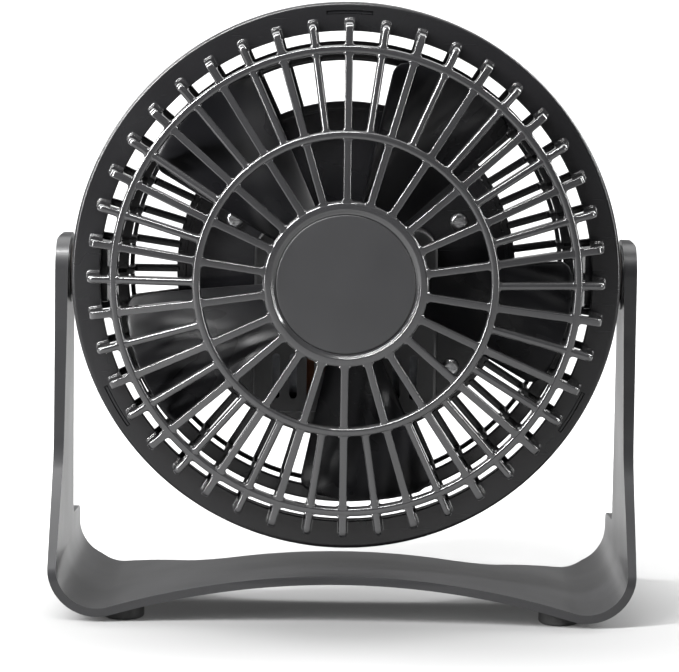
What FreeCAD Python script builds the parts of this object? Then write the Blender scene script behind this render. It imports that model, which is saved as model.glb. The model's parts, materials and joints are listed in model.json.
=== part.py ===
import FreeCAD, Part
import math
import os

# Desk fan: a round two-part cage that tilts between the arms of a one-piece U-shaped stand.
# Units are millimetres. +Z is up and the fan blows towards -Y.
# Every shape is drawn about the point where the tilt axis crosses the fan axis, then lifted
# to its place above the floor when it is written.

# ---- driving sizes: cage ----
RIM_RADIUS = 100.5        # outside of the front rim
RIM_WIDTH = 10.5          # flat face of the rim
RIM_PLATE = 2.2           # thickness of the rim face
RIM_SKIRT = 8.0           # how far the rim turns back over the rear housing
RIM_SETBACK = 18.0        # rim face ahead of the tilt axis
WALL = 2.4                # moulded walls of the housings
SHELL_GAP = 0.4           # play between the rim's skirt and the rear housing
RIB_COUNT = 44            # ribs in front and bars behind share this pitch
RIB_WIDTH = 2.8
RIB_DEPTH = 4.5
RIB_ROUND = 1.0
FIN_REACH = 4.5           # ribs meet the rim this far outside its inner edge
FIN_WIDTH = 4.2
OUTER_RING_INSET = 6.2    # mean radius of the outer ring, inside the rim's inner edge
OUTER_RING_RISE = 16.5    # outer ring ahead of the rim face
INNER_RING_RADIUS = 53.6
RING_WIDTH = 3.1
RING_PROUD = 0.2
HUB_RADIUS = 30.0
HUB_RISE = 21.6           # hub face ahead of the rim face
HUB_CUP = 7.0
BADGE_RADIUS = 25.0
BADGE_THICKNESS = 1.4
BADGE_DOME = 600.0         # radius of the badge's face
SNAP_ANGLES = (90.0, 210.0, 330.0)
SNAP_SPAN = 16.6
SNAP_THICKNESS = 1.2
SNAP_PLAY = 0.2

# ---- driving sizes: rear cage and covers ----
STEP_BACK = 17.4          # flat outer part of the rear cage, behind the rim face
PLATE = 2.5               # thickness of the rear plate and bars
BAND_INSET = 9.1          # inner edge of the rear band, inside the rim's inner edge
BAND_WIDTH = 5.3
CORNER_OUTSET = 0.5       # rear cage corner, outside the band's inner edge
PLATE_RADIUS = 63.6
PLATE_BACK = 28.6         # front of the rear plate, behind the rim face
PLATE_LIP = 0.8           # raised line round the rear plate
WINDOW_HALF_ANGLE = 14.5  # carry-handle window, each side of the top
GRIP_THICKNESS = 5.7
COVER_RADIUS = 60.5
COVER_ROOM = 5.7          # rear bracket to the floor of the rear cover
COVER_WALL = 2.2
COVER_BOSS = 4.0
VENT_ROWS = 5
VENT_TOP = 10.0
VENT_PITCH = 7.0
VENT_HALF = 1.3
VENT_INNER = 3.5
VENT_OUTER = 17.0
SCREW_RADIUS = 1.5
SCREW_HEAD_RADIUS = 3.25
SCREW_HEAD_HEIGHT = 2.2
FIT = 0.05                # radial play of a screw or a sliding shaft

# ---- driving sizes: motor ----
SHAFT_RADIUS = 1.585
BEARING_PLAY = 0.03
ROTOR_RADIUS = 12.9
AIR_GAP = 0.45
STACK_DEPTH = 13.0
STACK_MIDDLE_BACK = 31.5  # middle of the stack, behind the rim face
STACK_HALF_WIDTH = 29.0
STACK_BRIDGE = 1.15       # least steel over the bore
YOKE_DEPTH = 4.15         # least steel under the bore
LEG_WIDTH = 12.0
LEG_BOTTOM = -46.0
CORE_HEIGHT = 12.0
CORE_SET_UP = 1.0         # coil core above the ends of the legs
COIL_REACH = 6.5          # winding stands out of the stack on each side
COIL_DEPTH = 3.2          # winding above and below its core
FLANGE_MARGIN = 0.4       # bobbin flange past the winding
BOBBIN_WALL = 1.4
SHADING_ANGLES = (12.0, 48.0)
SHADING_WIRE = 1.7
SHADING_OUTSET = 2.6      # shading rings outside the bore
END_RING = 1.8
THRUST_WASHER = 0.8
BEARING_LENGTH = 4.5
BEARING_RADIUS = 4.5
BRACKET_BAR = 2.0
BRACKET_STANDOFF = 4.0
MOTOR_SCREW_X = 22.0
MOTOR_SCREW_HEAD = 1.6
MOTOR_SCREW_HEAD_RADIUS = 2.8
MOTOR_COVER_SIDE = 5.0    # motor cover outside the stack, at the sides
MOTOR_COVER_ABOVE = 2.5
MOTOR_COVER_BELOW = 6.0
MOTOR_COVER_ROUND = 9.0   # upper corners of the motor cover
MOTOR_COVER_WALL = 1.6
MOTOR_COVER_LEDGE = 1.0   # motor cover's seat on the rear plate, inside its wall
MOTOR_COVER_GAP = 0.3
GRILLE_SLOTS = 9
GRILLE_SLOT_PITCH = 6.4
GRILLE_SLOT_HALF = 1.4
GRILLE_SLOT_LENGTH = 17.0
FUSE_RADIUS = 2.0
FUSE_LENGTH = 11.0
TERMINAL_LENGTH = 16.0
TERMINAL_HEIGHT = 7.0
TERMINAL_DEPTH = 4.0
TERMINAL_TOP = -43.0

# ---- driving sizes: impeller ----
BLADE_COUNT = 5
TIP_GAP = 7.3             # blade tips inside the rim's inner edge
BLADE_PHASE = -12.0
BLADE_HALF_ANGLE = 18.0   # each side of a blade's middle, seen from the front
BLADE_THICKNESS = 1.6
BLADE_ROOT_RADIUS = 17.5
BLADE_SECTIONS = 6
ROOT_PITCH = 46.0
TIP_PITCH = 21.0
BLADE_CAMBER = 0.045      # rise over chord
BOSS_RADIUS = 20.0
BOSS_LENGTH = 17.0
BOSS_WALL = 2.2
BOSS_SETBACK = 12.0       # boss ahead of the rim face
BOSS_CORE = 5.0           # sleeve round the shaft
BLADE_CENTRE_BACK = 1.5   # mid-depth of the blades, behind the rim face
CLIP_RADIUS = 4.6
CLIP_THICKNESS = 0.6

# ---- driving sizes: switch and inlet ----
KNOB_HEIGHT = 33.0        # knob axis above the fan axis
KNOB_RADIUS = 13.0
KNOB_LENGTH = 11.0
KNOB_SKIRT = 3.4
KNOB_BAR_HALF = 3.2
KNOB_GAP = 0.7
SWITCH_HALF = 10.0
SWITCH_DEPTH = 12.0
SWITCH_SHAFT_RADIUS = 2.5
SWITCH_NECK_RADIUS = 4.5
GLAND_X = 22.0
GLAND_Z = -44.0
GLAND_RADIUS = 5.0
GLAND_BORE = 3.2
GLAND_FLANGE = 1.6

# ---- driving sizes: stand ----
ARM_GAP = 1.3             # rim to the arm's top
ARM_TOP_THICKNESS = 5.0
BAND_THICKNESS = 3.1
ARM_FLARE = 0.4           # arms lean out this much towards the floor
ARM_MARGIN = 2.0          # arm's edge outside its pad
ARM_ROUND = 13.0
ARM_EASE = 2.5            # rounded outer top corner of the arms
SWING_GAP = 4.7           # rim's swing to the top of the base
BASE_RISE = 15.1          # underside of the base above the floor at the middle
CORNER_RADIUS = 18.0
CORNER_LIFT = 2.0
BASE_FRONT = -38.0
BASE_REAR = 55.0
BASE_WAIST = 8.0
WING_HEIGHT = 26.0
FOOT_RADIUS = 7.5
FOOT_INSET = 27.2         # feet inside the outside of the arms
FOOT_FRONT_SET = 11.0     # front feet behind the front edge
FOOT_REAR_SET = 27.0      # rear feet ahead of the rear edge

# ---- driving sizes: tilt pivots ----
TRUNNION_RADIUS = 6.0
PIVOT_PLAY = 0.08
PAD_MARGIN = 3.6          # pad outside the pivot cap
PAD_PROUD = 0.3           # pad on the arm stands in towards the cage
FRICTION_WASHER = 2.0
BLOCK_MARGIN_UP = 5.0     # pivot block outside the trunnion, up and down
BLOCK_BEHIND = 0.5        # pivot block and washer behind the rim's skirt
BLOCK_SINK = 2.0          # pivot block inside the rim's inner edge
KEEPER_THICKNESS = 0.8
KEEPER_OVERLAP = 1.6      # keeper outside the trunnion
PIVOT_HEAD_RADIUS = 3.5
PIVOT_HEAD_HEIGHT = 1.2
PIVOT_SCREW_LENGTH = 13.0
CAP_THICKNESS = 0.5
CAP_WALL = 0.6
CAP_MARGIN = 0.8          # cap outside the keeper
PIVOT_END_PLAY = 0.1

# ---- sizes that follow ----
RIM_Y = -RIM_SETBACK
RIM_INNER = RIM_RADIUS - RIM_WIDTH
HOUSING_RADIUS = RIM_RADIUS - RIM_PLATE - SHELL_GAP
HOUSING_INNER = HOUSING_RADIUS - WALL
FIN_RADIUS = RIM_INNER + FIN_REACH
OUTER_RING_RADIUS = RIM_INNER - OUTER_RING_INSET
RING_Y = RIM_Y - OUTER_RING_RISE
HUB_Y = RIM_Y - HUB_RISE
SNAP_RADIUS = HOUSING_RADIUS - 0.2
STEP_Y = RIM_Y + STEP_BACK
BAND_RADIUS = RIM_INNER - BAND_INSET
CORNER_R = BAND_RADIUS + CORNER_OUTSET
PLATE_Y = RIM_Y + PLATE_BACK
PLATE_REAR = PLATE_Y + PLATE
TIP_RADIUS = RIM_INNER - TIP_GAP
STACK_MIDDLE = RIM_Y + STACK_MIDDLE_BACK
STACK_FRONT = STACK_MIDDLE - STACK_DEPTH / 2
STACK_REAR = STACK_MIDDLE + STACK_DEPTH / 2
BEARING_FRONT = STACK_FRONT - END_RING - THRUST_WASHER
BEARING_REAR = STACK_REAR + END_RING + THRUST_WASHER
BRACKET_FRONT = STACK_FRONT - BRACKET_STANDOFF - BRACKET_BAR
BRACKET_REAR = STACK_REAR + BRACKET_STANDOFF + BRACKET_BAR
FLOOR_Y = BRACKET_REAR + COVER_ROOM
COVER_REAR = FLOOR_Y + COVER_WALL
BORE_RADIUS = ROTOR_RADIUS + AIR_GAP
STACK_TOP = BORE_RADIUS + STACK_BRIDGE
YOKE_BOTTOM = -BORE_RADIUS - YOKE_DEPTH
CORE_TOP = LEG_BOTTOM + CORE_SET_UP + CORE_HEIGHT
CORE_MIDDLE = CORE_TOP - CORE_HEIGHT / 2
CORE_HALF = STACK_HALF_WIDTH - LEG_WIDTH
BOSS_FRONT = RIM_Y - BOSS_SETBACK
BLADE_Y = RIM_Y + BLADE_CENTRE_BACK
SHAFT_FRONT = BOSS_FRONT - 1.5
SHAFT_REAR = BEARING_REAR + BEARING_LENGTH + 0.8
MOTOR_COVER_HALF = STACK_HALF_WIDTH + MOTOR_COVER_SIDE
MOTOR_COVER_TOP = STACK_TOP + MOTOR_COVER_ABOVE
MOTOR_COVER_BOTTOM = LEG_BOTTOM - MOTOR_COVER_BELOW
MOTOR_COVER_Y = BRACKET_FRONT - MOTOR_SCREW_HEAD - MOTOR_COVER_GAP - MOTOR_COVER_WALL
UPPER_SCREW_X = MOTOR_COVER_HALF + 8.0
UPPER_SCREW_Z = MOTOR_COVER_TOP + 2.0
LOWER_SCREW_X = MOTOR_COVER_HALF + 6.0
LOWER_SCREW_REACH = COVER_RADIUS - COVER_WALL - COVER_BOSS - 0.5
LOWER_SCREW_Z = -math.sqrt(LOWER_SCREW_REACH ** 2 - LOWER_SCREW_X ** 2)
COVER_SCREWS = ((-UPPER_SCREW_X, UPPER_SCREW_Z), (UPPER_SCREW_X, UPPER_SCREW_Z),
                (-LOWER_SCREW_X, LOWER_SCREW_Z), (LOWER_SCREW_X, LOWER_SCREW_Z))
KNOB_FRONT = COVER_REAR + KNOB_GAP
KNOB_REAR = KNOB_FRONT + KNOB_LENGTH
ARM_INNER = RIM_RADIUS + ARM_GAP
ARM_OUTER = ARM_INNER + ARM_TOP_THICKNESS
ARM_OUTER_LOW = ARM_OUTER + ARM_FLARE
PAD_X = ARM_INNER - PAD_PROUD
BLOCK_X = PAD_X - FRICTION_WASHER
PIVOT_STACK = CAP_THICKNESS + PIVOT_END_PLAY + PIVOT_HEAD_HEIGHT + KEEPER_THICKNESS
SEAT_X = ARM_OUTER - PIVOT_STACK - PIVOT_END_PLAY
TRUNNION_END = SEAT_X + PIVOT_END_PLAY
KEEPER_RADIUS = TRUNNION_RADIUS + KEEPER_OVERLAP
CAP_RADIUS = KEEPER_RADIUS + CAP_MARGIN
PAD_RADIUS = CAP_RADIUS + PAD_MARGIN
PIVOT_BLOCK_HALF = TRUNNION_RADIUS + BLOCK_MARGIN_UP
PIVOT_BLOCK_DEPTH = RIM_SETBACK - RIM_SKIRT - BLOCK_BEHIND
ARM_HALF_WIDTH = PAD_RADIUS + ARM_MARGIN
SWING_RADIUS = math.hypot(RIM_RADIUS, RIM_SETBACK)
AXIS_HEIGHT = BASE_RISE + BAND_THICKNESS + SWING_GAP + SWING_RADIUS
ARM_TOP_Z = ARM_HALF_WIDTH
CORNER_X = ARM_OUTER_LOW - CORNER_RADIUS
FOOT_X = ARM_OUTER_LOW - FOOT_INSET
FOOT_FRONT = BASE_FRONT + FOOT_FRONT_SET
FOOT_REAR = BASE_REAR - FOOT_REAR_SET
CORNER_Z = CORNER_LIFT + CORNER_RADIUS
ARCH_DROP = CORNER_Z - BASE_RISE
ARCH_RADIUS = (CORNER_X ** 2 + ARCH_DROP ** 2 - CORNER_RADIUS ** 2) / (2 * (CORNER_RADIUS - ARCH_DROP))
ARCH_Z = BASE_RISE - ARCH_RADIUS
FRONT_MOST = HUB_Y - RING_PROUD
REAR_MOST = max(BASE_REAR, KNOB_REAR)
PIVOT_Y = -(FRONT_MOST + REAR_MOST) / 2

ORIGIN = FreeCAD.Vector(0, 0, 0)
AXIS_X = FreeCAD.Vector(1, 0, 0)
AXIS_Y = FreeCAD.Vector(0, 1, 0)


# ---- drawing helpers ----
def vec(x, y, z):
    return FreeCAD.Vector(x, y, z)


def outline(points):
    """Closed face in the XY plane. A point's third value is the radius of its corner."""
    starts, middles, ends = [], [], []
    for i, point in enumerate(points):
        corner = vec(point[0], point[1], 0)
        radius = point[2] if len(point) > 2 else 0
        before = points[i - 1]
        after = points[(i + 1) % len(points)]
        back = (vec(before[0], before[1], 0) - corner).normalize()
        ahead = (vec(after[0], after[1], 0) - corner).normalize()
        half = back.getAngle(ahead) / 2
        run = radius / math.tan(half)
        starts.append(corner + back * run)
        ends.append(corner + ahead * run)
        middles.append(corner + (back + ahead).normalize() * (radius / math.sin(half) - radius))
    edges = []
    for i in range(len(points)):
        if (ends[i] - starts[i]).Length > 1e-6:
            edges.append(Part.Arc(starts[i], middles[i], ends[i]).toShape())
        following = starts[(i + 1) % len(points)]
        if (following - ends[i]).Length > 1e-6:
            edges.append(Part.LineSegment(ends[i], following).toShape())
    return Part.Face(Part.Wire(edges))


def turned(shape, angle):
    """Copy turned about the fan axis, anticlockwise as seen from the front."""
    copy = shape.copy()
    copy.rotate(ORIGIN, AXIS_Y, -angle)
    return copy


def moved(shape, x, y, z):
    copy = shape.copy()
    copy.translate(vec(x, y, z))
    return copy


def mirrored(shape):
    return shape.mirror(ORIGIN, AXIS_X)


def lathe(points):
    """Full turn about the fan axis of an outline of (radius, depth) points."""
    return outline(points).revolve(ORIGIN, AXIS_Y, 360)


def sector(points, middle, span):
    """Part turn of the same kind of outline, centred on an angle."""
    return turned(outline(points), middle + span / 2).revolve(ORIGIN, AXIS_Y, span)


def front_slab(points, y0, y1):
    """Outline drawn in front view (x, z), thick from y0 to y1."""
    face = outline(points)
    face.rotate(ORIGIN, AXIS_X, 90)
    face.translate(vec(0, y0, 0))
    return face.extrude(vec(0, y1 - y0, 0))


def side_slab(points, x0, x1):
    """Outline drawn in side view (y, z), thick from x0 to x1."""
    face = outline(points)
    face.rotate(ORIGIN, vec(1, 1, 1), 120)
    face.translate(vec(x0, 0, 0))
    return face.extrude(vec(x1 - x0, 0, 0))


def round_slot(x0, x1, z0, z1, y0, y1):
    """Slot cutter along the fan axis with nearly round ends."""
    end = min(x1 - x0, z1 - z0) / 2 * 0.92
    return front_slab([(x0, z0, end), (x1, z0, end), (x1, z1, end), (x0, z1, end)], y0, y1)


def block(x0, x1, y0, y1, z0, z1):
    return Part.makeBox(x1 - x0, y1 - y0, z1 - z0, vec(x0, y0, z0))


def drum(radius, y0, y1, x=0.0, z=0.0):
    """Cylinder along the fan axis."""
    return Part.makeCylinder(radius, y1 - y0, vec(x, y0, z), AXIS_Y)


def pin(radius, x0, x1):
    """Cylinder along the tilt axis."""
    return Part.makeCylinder(radius, x1 - x0, vec(x0, 0, 0), AXIS_X)


def tube(outer, inner, y0, y1, x=0.0, z=0.0):
    return drum(outer, y0, y1, x, z).cut(drum(inner, y0, y1, x, z))


def round_edges(shape, radius, chosen):
    """Round every edge whose middle passes the test."""
    edges = [edge for edge in shape.Edges if chosen(edge.CenterOfMass)]
    return shape.makeFillet(radius, edges)


# ---- front cage ----
def rim():
    face = RIM_Y
    return lathe([
        (RIM_INNER, face, 0.5), (RIM_RADIUS, face, 1.5),
        (RIM_RADIUS, face + RIM_SKIRT), (RIM_RADIUS - RIM_PLATE, face + RIM_SKIRT),
        (RIM_RADIUS - RIM_PLATE, face + RIM_PLATE), (RIM_INNER, face + RIM_PLATE, 0.5),
    ])


def cage_ring(radius, front):
    half = RING_WIDTH / 2
    return lathe([
        (radius - half, front, 0.9), (radius + half, front, 0.9),
        (radius + half, front + RIB_DEPTH - RING_PROUD, 0.5),
        (radius - half, front + RIB_DEPTH - RING_PROUD, 0.5),
    ])


def rib(start):
    """One rib along +X, from a start radius out over the rings and back to the rim."""
    root = RIM_Y + RIM_PLATE / 2
    fin_inner = FIN_RADIUS - FIN_WIDTH
    points = [(start, HUB_Y), (OUTER_RING_RADIUS, RING_Y, 20.0), (FIN_RADIUS - 1.2, RING_Y, 2.6),
              (FIN_RADIUS, root), (fin_inner, root), (fin_inner - 1.2, RING_Y + RIB_DEPTH, 2.0),
              (OUTER_RING_RADIUS - 4.0, RING_Y + RIB_DEPTH, 20.0), (start, HUB_Y + RIB_DEPTH)]
    if start < INNER_RING_RADIUS:
        points.insert(1, (INNER_RING_RADIUS, HUB_Y, 20.0))
        points.insert(-1, (INNER_RING_RADIUS, HUB_Y + RIB_DEPTH, 20.0))
    solid = outline(points).extrude(vec(0, 0, RIB_WIDTH))
    solid.translate(vec(0, 0, -RIB_WIDTH / 2))
    side = RIB_WIDTH / 2 - 0.01

    def on_front(middle):
        ahead = middle.y < RING_Y + 1.5 or middle.x > FIN_RADIUS - FIN_WIDTH / 2
        return ahead and abs(middle.z) > side and middle.x > start + 0.1

    return round_edges(solid, RIB_ROUND, on_front)


def hub():
    seat = HUB_Y + BADGE_THICKNESS - RING_PROUD
    back = seat + 2.0
    cup = HUB_Y + HUB_CUP
    inner = HUB_RADIUS - WALL
    return lathe([
        (0, seat), (BADGE_RADIUS + 0.2, seat), (BADGE_RADIUS + 0.2, HUB_Y + 0.5),
        (BADGE_RADIUS + 1.6, HUB_Y + 0.5, 0.3), (BADGE_RADIUS + 2.4, HUB_Y - RING_PROUD, 0.6),
        (HUB_RADIUS, HUB_Y - RING_PROUD, 1.4), (HUB_RADIUS, cup), (inner, cup), (inner, back, 1.5), (0, back),
    ])


def snap_arc(thickness, span, y0, y1, angle):
    """Arc-shaped bar on the snap circle."""
    inner = SNAP_RADIUS - thickness
    profile = [(inner, y0), (SNAP_RADIUS, y0), (SNAP_RADIUS, y1), (inner, y1)]
    return sector(profile, angle, math.degrees(span / SNAP_RADIUS))


def snap_slot(angle):
    slot = snap_arc(SNAP_THICKNESS + SNAP_PLAY, SNAP_SPAN + 2 * SNAP_PLAY,
                    RIM_Y - 1, RIM_Y + RIM_PLATE + 1, angle)
    return turned(moved(turned(slot, -angle), SNAP_PLAY / 2, 0, 0), angle)


def front_grille():
    pitch = 360.0 / RIB_COUNT
    long_rib = rib(HUB_RADIUS - 1.5)
    short_rib = rib(INNER_RING_RADIUS)
    ribs = []
    for i in range(RIB_COUNT):
        shape = long_rib if i % 2 == 0 else short_rib
        ribs.append(turned(shape, 90.0 + i * pitch))
    rings = [cage_ring(INNER_RING_RADIUS, HUB_Y - RING_PROUD),
             cage_ring(OUTER_RING_RADIUS, RING_Y - RING_PROUD)]
    cage = rim().multiFuse(rings + [hub()] + ribs)
    for angle in SNAP_ANGLES:
        cage = cage.cut(snap_slot(angle))
    return cage


def hub_badge():
    front = HUB_Y - RING_PROUD
    back = front + BADGE_THICKNESS
    dome = Part.makeSphere(BADGE_DOME, vec(0, front + BADGE_DOME, 0))
    return drum(BADGE_RADIUS, front, back).common(dome)


# ---- rear cage ----
def rear_wall():
    front = RIM_Y + RIM_PLATE
    rear = STEP_Y + PLATE
    return lathe([
        (HOUSING_INNER, front), (HOUSING_RADIUS, front), (HOUSING_RADIUS, front + RIM_SKIRT, 4.0),
        (HOUSING_RADIUS - 2.9, rear, 1.5), (HOUSING_INNER - 2.9, rear),
        (HOUSING_INNER, front + RIM_SKIRT, 4.0),
    ])


def rear_bar(in_window):
    """One bar along +X: across the rear plane, forward at the corner and out to the wall."""
    inner = CORNER_R - PLATE
    outer = HOUSING_INNER - 1.4
    points = [(inner, STEP_Y), (outer, STEP_Y), (outer, STEP_Y + PLATE), (CORNER_R, STEP_Y + PLATE, 1.0),
              (CORNER_R, PLATE_REAR, 0 if in_window else 1.5)]
    if in_window:
        points.append((inner, PLATE_REAR))
    else:
        points += [(PLATE_RADIUS - 1.0, PLATE_REAR), (PLATE_RADIUS - 1.0, PLATE_Y), (inner, PLATE_Y, 1.0)]
    solid = outline(points).extrude(vec(0, 0, RIB_WIDTH))
    solid.translate(vec(0, 0, -RIB_WIDTH / 2))
    return solid


def rear_bars():
    pitch = 360.0 / RIB_COUNT
    full = rear_bar(False)
    short = rear_bar(True)
    bars = []
    for i in range(RIB_COUNT):
        away = min(i, RIB_COUNT - i) * pitch
        bars.append(turned(short if away < WINDOW_HALF_ANGLE else full, 90.0 + i * pitch))
    return bars


def motor_opening():
    ledge = MOTOR_COVER_WALL + MOTOR_COVER_LEDGE
    half = MOTOR_COVER_HALF - ledge
    top = STACK_TOP + MOTOR_COVER_GAP * 2
    bottom = MOTOR_COVER_BOTTOM + ledge
    return front_slab([(-half, top, 4.0), (half, top, 4.0), (half, bottom, 2.0), (-half, bottom, 2.0)],
                      PLATE_Y - 1, PLATE_REAR + 1)


def rear_plate():
    plate = lathe([(0, PLATE_Y), (PLATE_RADIUS, PLATE_Y, 0.6),
                   (PLATE_RADIUS, PLATE_REAR, 0.6), (0, PLATE_REAR)])
    lip = tube(COVER_RADIUS + 0.7, COVER_RADIUS - 0.5, PLATE_Y - PLATE_LIP, PLATE_Y)
    room = MOTOR_COVER_HALF + MOTOR_COVER_GAP
    lip = lip.cut(block(-room, room, PLATE_Y - PLATE_LIP - 1, PLATE_Y, MOTOR_COVER_BOTTOM * 2, 0))
    plate = plate.fuse(lip).cut(motor_opening())
    for x, z in COVER_SCREWS:
        plate = plate.cut(drum(SCREW_RADIUS + 0.2, PLATE_Y - 1, PLATE_REAR + 1, x, z))
    return plate


def handle_grip():
    inner = CORNER_R - PLATE
    outer = inner + GRIP_THICKNESS
    front = STEP_Y + PLATE
    return sector([(inner, front), (outer, front), (outer, PLATE_REAR, 2.2), (inner, PLATE_REAR, 2.2)],
                  90.0, 2 * WINDOW_HALF_ANGLE + 6.0)


def pivot_block():
    """Block on the +X side with the trunnion that turns in the arm."""
    inner = RIM_INNER - BLOCK_SINK
    half = PIVOT_BLOCK_HALF
    depth = PIVOT_BLOCK_DEPTH
    body = side_slab([(-depth, -half, 2.0), (depth, -half, 2.0), (depth, half, 2.0), (-depth, half, 2.0)],
                     inner, BLOCK_X)
    return body.fuse(pin(TRUNNION_RADIUS, BLOCK_X - 1, TRUNNION_END))


def rear_housing():
    band = lathe([
        (BAND_RADIUS, STEP_Y, 0.4), (BAND_RADIUS + BAND_WIDTH, STEP_Y, 0.4),
        (BAND_RADIUS + BAND_WIDTH, STEP_Y + PLATE, 0.4), (BAND_RADIUS, STEP_Y + PLATE, 0.4),
    ])
    corner = tube(CORNER_R - 0.2, CORNER_R - 1.8, PLATE_Y + 0.4, PLATE_REAR - 0.4)
    blocks = [pivot_block(), mirrored(pivot_block())]
    rear = RIM_Y + RIM_PLATE
    tongues = [snap_arc(SNAP_THICKNESS, SNAP_SPAN, RIM_Y + 0.5, rear + 2.0, angle) for angle in SNAP_ANGLES]
    middle = [band, corner, rear_plate(), handle_grip()]
    shape = rear_wall().multiFuse(middle + rear_bars() + blocks + tongues)
    bore = pin(SCREW_RADIUS + FIT, RIM_INNER, TRUNNION_END + 1)
    return shape.cut(bore).cut(mirrored(bore))


def rear_cover():
    rear = COVER_REAR
    inner = COVER_RADIUS - COVER_WALL
    pot = lathe([
        (inner, PLATE_REAR), (COVER_RADIUS, PLATE_REAR), (COVER_RADIUS, rear, 7.0), (0, rear),
        (0, FLOOR_Y), (inner, FLOOR_Y, 5.0),
    ])
    bosses = [drum(COVER_BOSS, PLATE_REAR, FLOOR_Y + 0.5, x, z) for x, z in COVER_SCREWS]
    posts = [drum(COVER_BOSS, BRACKET_REAR, FLOOR_Y + 0.5, side * MOTOR_SCREW_X, 0) for side in (-1, 1)]
    pot = pot.multiFuse(bosses + posts)
    for x, z in COVER_SCREWS:
        pot = pot.cut(drum(SCREW_RADIUS + FIT, PLATE_REAR - 1, PLATE_REAR + 10.0, x, z))
    for side in (-1, 1):
        pot = pot.cut(drum(SCREW_RADIUS + FIT, BRACKET_REAR - 1, FLOOR_Y - 0.5, side * MOTOR_SCREW_X, 0))
    for slot in vent_slots():
        pot = pot.cut(slot)
    pot = pot.cut(drum(SWITCH_NECK_RADIUS + FIT, FLOOR_Y - 1, rear + 1, 0, KNOB_HEIGHT))
    return pot.cut(drum(GLAND_RADIUS, FLOOR_Y - 1, rear + 1, GLAND_X, GLAND_Z))


def vent_slots():
    """Cooling slots across the back of the rear cover, in two columns either side of a spine."""
    slots = []
    for row in range(VENT_ROWS):
        z = VENT_TOP - row * VENT_PITCH
        for side in (-1, 1):
            low, high = sorted((side * VENT_INNER, side * VENT_OUTER))
            slots.append(round_slot(low, high, z - VENT_HALF, z + VENT_HALF, FLOOR_Y - 1, COVER_REAR + 1))
    return slots


def pan_screw(length):
    """Pan-head screw pointing along +Y, with its head's underside at the origin."""
    head = lathe([(0, -SCREW_HEAD_HEIGHT), (SCREW_HEAD_RADIUS, -SCREW_HEAD_HEIGHT, 1.4),
                  (SCREW_HEAD_RADIUS, 0), (0, 0)])
    shank = lathe([(0, -0.5), (SCREW_RADIUS, -0.5), (SCREW_RADIUS, length, 0.6), (0, length)])
    cross = block(-2.0, 2.0, -SCREW_HEAD_HEIGHT - 1, -1.0, -0.45, 0.45)
    screw = head.fuse(shank).cut(cross)
    return screw.cut(turned(cross, 90.0))


def cover_screws():
    screw = pan_screw(PLATE + 9.0)
    return Part.makeCompound([moved(screw, x, PLATE_Y, z) for x, z in COVER_SCREWS])


def motor_cover():
    half = MOTOR_COVER_HALF
    top = MOTOR_COVER_TOP
    bottom = MOTOR_COVER_BOTTOM
    wall = MOTOR_COVER_WALL
    outer_round = MOTOR_COVER_ROUND
    inner_round = MOTOR_COVER_ROUND - wall
    shell = front_slab([(-half, top, outer_round), (half, top, outer_round), (half, bottom, 3.0),
                        (-half, bottom, 3.0)], MOTOR_COVER_Y, PLATE_Y)
    shell = round_edges(shell, 1.2, lambda middle: middle.y < MOTOR_COVER_Y + 0.1)
    inside = front_slab([(wall - half, top - wall, inner_round), (half - wall, top - wall, inner_round),
                         (half - wall, bottom + wall, 1.4), (wall - half, bottom + wall, 1.4)],
                        MOTOR_COVER_Y + wall, PLATE_Y + 1)
    front = MOTOR_COVER_Y - 1
    back = MOTOR_COVER_Y + wall + 1
    shell = shell.cut(inside).cut(drum(BOSS_CORE + 0.5, front, back))
    low = bottom + BOSS_CORE
    for i in range(GRILLE_SLOTS):
        x = (i - (GRILLE_SLOTS - 1) / 2) * GRILLE_SLOT_PITCH
        shell = shell.cut(round_slot(x - GRILLE_SLOT_HALF, x + GRILLE_SLOT_HALF,
                                     low, low + GRILLE_SLOT_LENGTH, front, back))
    return shell


# ---- motor ----
def shading_ring():
    """Copper loop through the stack, between two points on a circle outside the bore."""
    first, second = SHADING_ANGLES
    reach = BORE_RADIUS + SHADING_OUTSET
    a = vec(reach * math.cos(math.radians(first)), 0, reach * math.sin(math.radians(first)))
    b = vec(reach * math.cos(math.radians(second)), 0, reach * math.sin(math.radians(second)))
    chord = (b - a).Length
    wire = SHADING_WIRE
    outer = block(-(chord + wire) / 2, (chord + wire) / 2, STACK_FRONT - wire, STACK_REAR + wire,
                  -wire / 2, wire / 2)
    inner = block(-chord / 2 + wire / 2, chord / 2 - wire / 2, STACK_FRONT, STACK_REAR, -wire, wire)
    loop = outer.cut(inner)
    loop.rotate(ORIGIN, AXIS_Y, -math.degrees(math.atan2(b.z - a.z, b.x - a.x)))
    middle = (a + b) * 0.5
    return moved(loop, middle.x, 0, middle.z)


def shading_rings():
    return Part.makeCompound([shading_ring(), turned(shading_ring(), 180.0)])


def stator_laminations():
    half = STACK_HALF_WIDTH
    leg = CORE_HALF
    shape = front_slab([
        (-half, STACK_TOP, 5.0), (half, STACK_TOP, 5.0), (half, LEG_BOTTOM, 1.0), (leg, LEG_BOTTOM),
        (leg, YOKE_BOTTOM, 2.0), (-leg, YOKE_BOTTOM, 2.0), (-leg, LEG_BOTTOM), (-half, LEG_BOTTOM, 1.0),
    ], STACK_FRONT, STACK_REAR)
    shape = shape.cut(drum(BORE_RADIUS, STACK_FRONT - 1, STACK_REAR + 1))
    for side in (-1, 1):
        shape = shape.cut(drum(SCREW_RADIUS + 0.2, STACK_FRONT - 1, STACK_REAR + 1, side * MOTOR_SCREW_X, 0))
    for ring in (shading_ring(), turned(shading_ring(), 180.0)):
        shape = shape.cut(ring)
    return shape


def coil_core():
    return block(-CORE_HALF, CORE_HALF, STACK_FRONT, STACK_REAR, CORE_TOP - CORE_HEIGHT, CORE_TOP)


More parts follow.
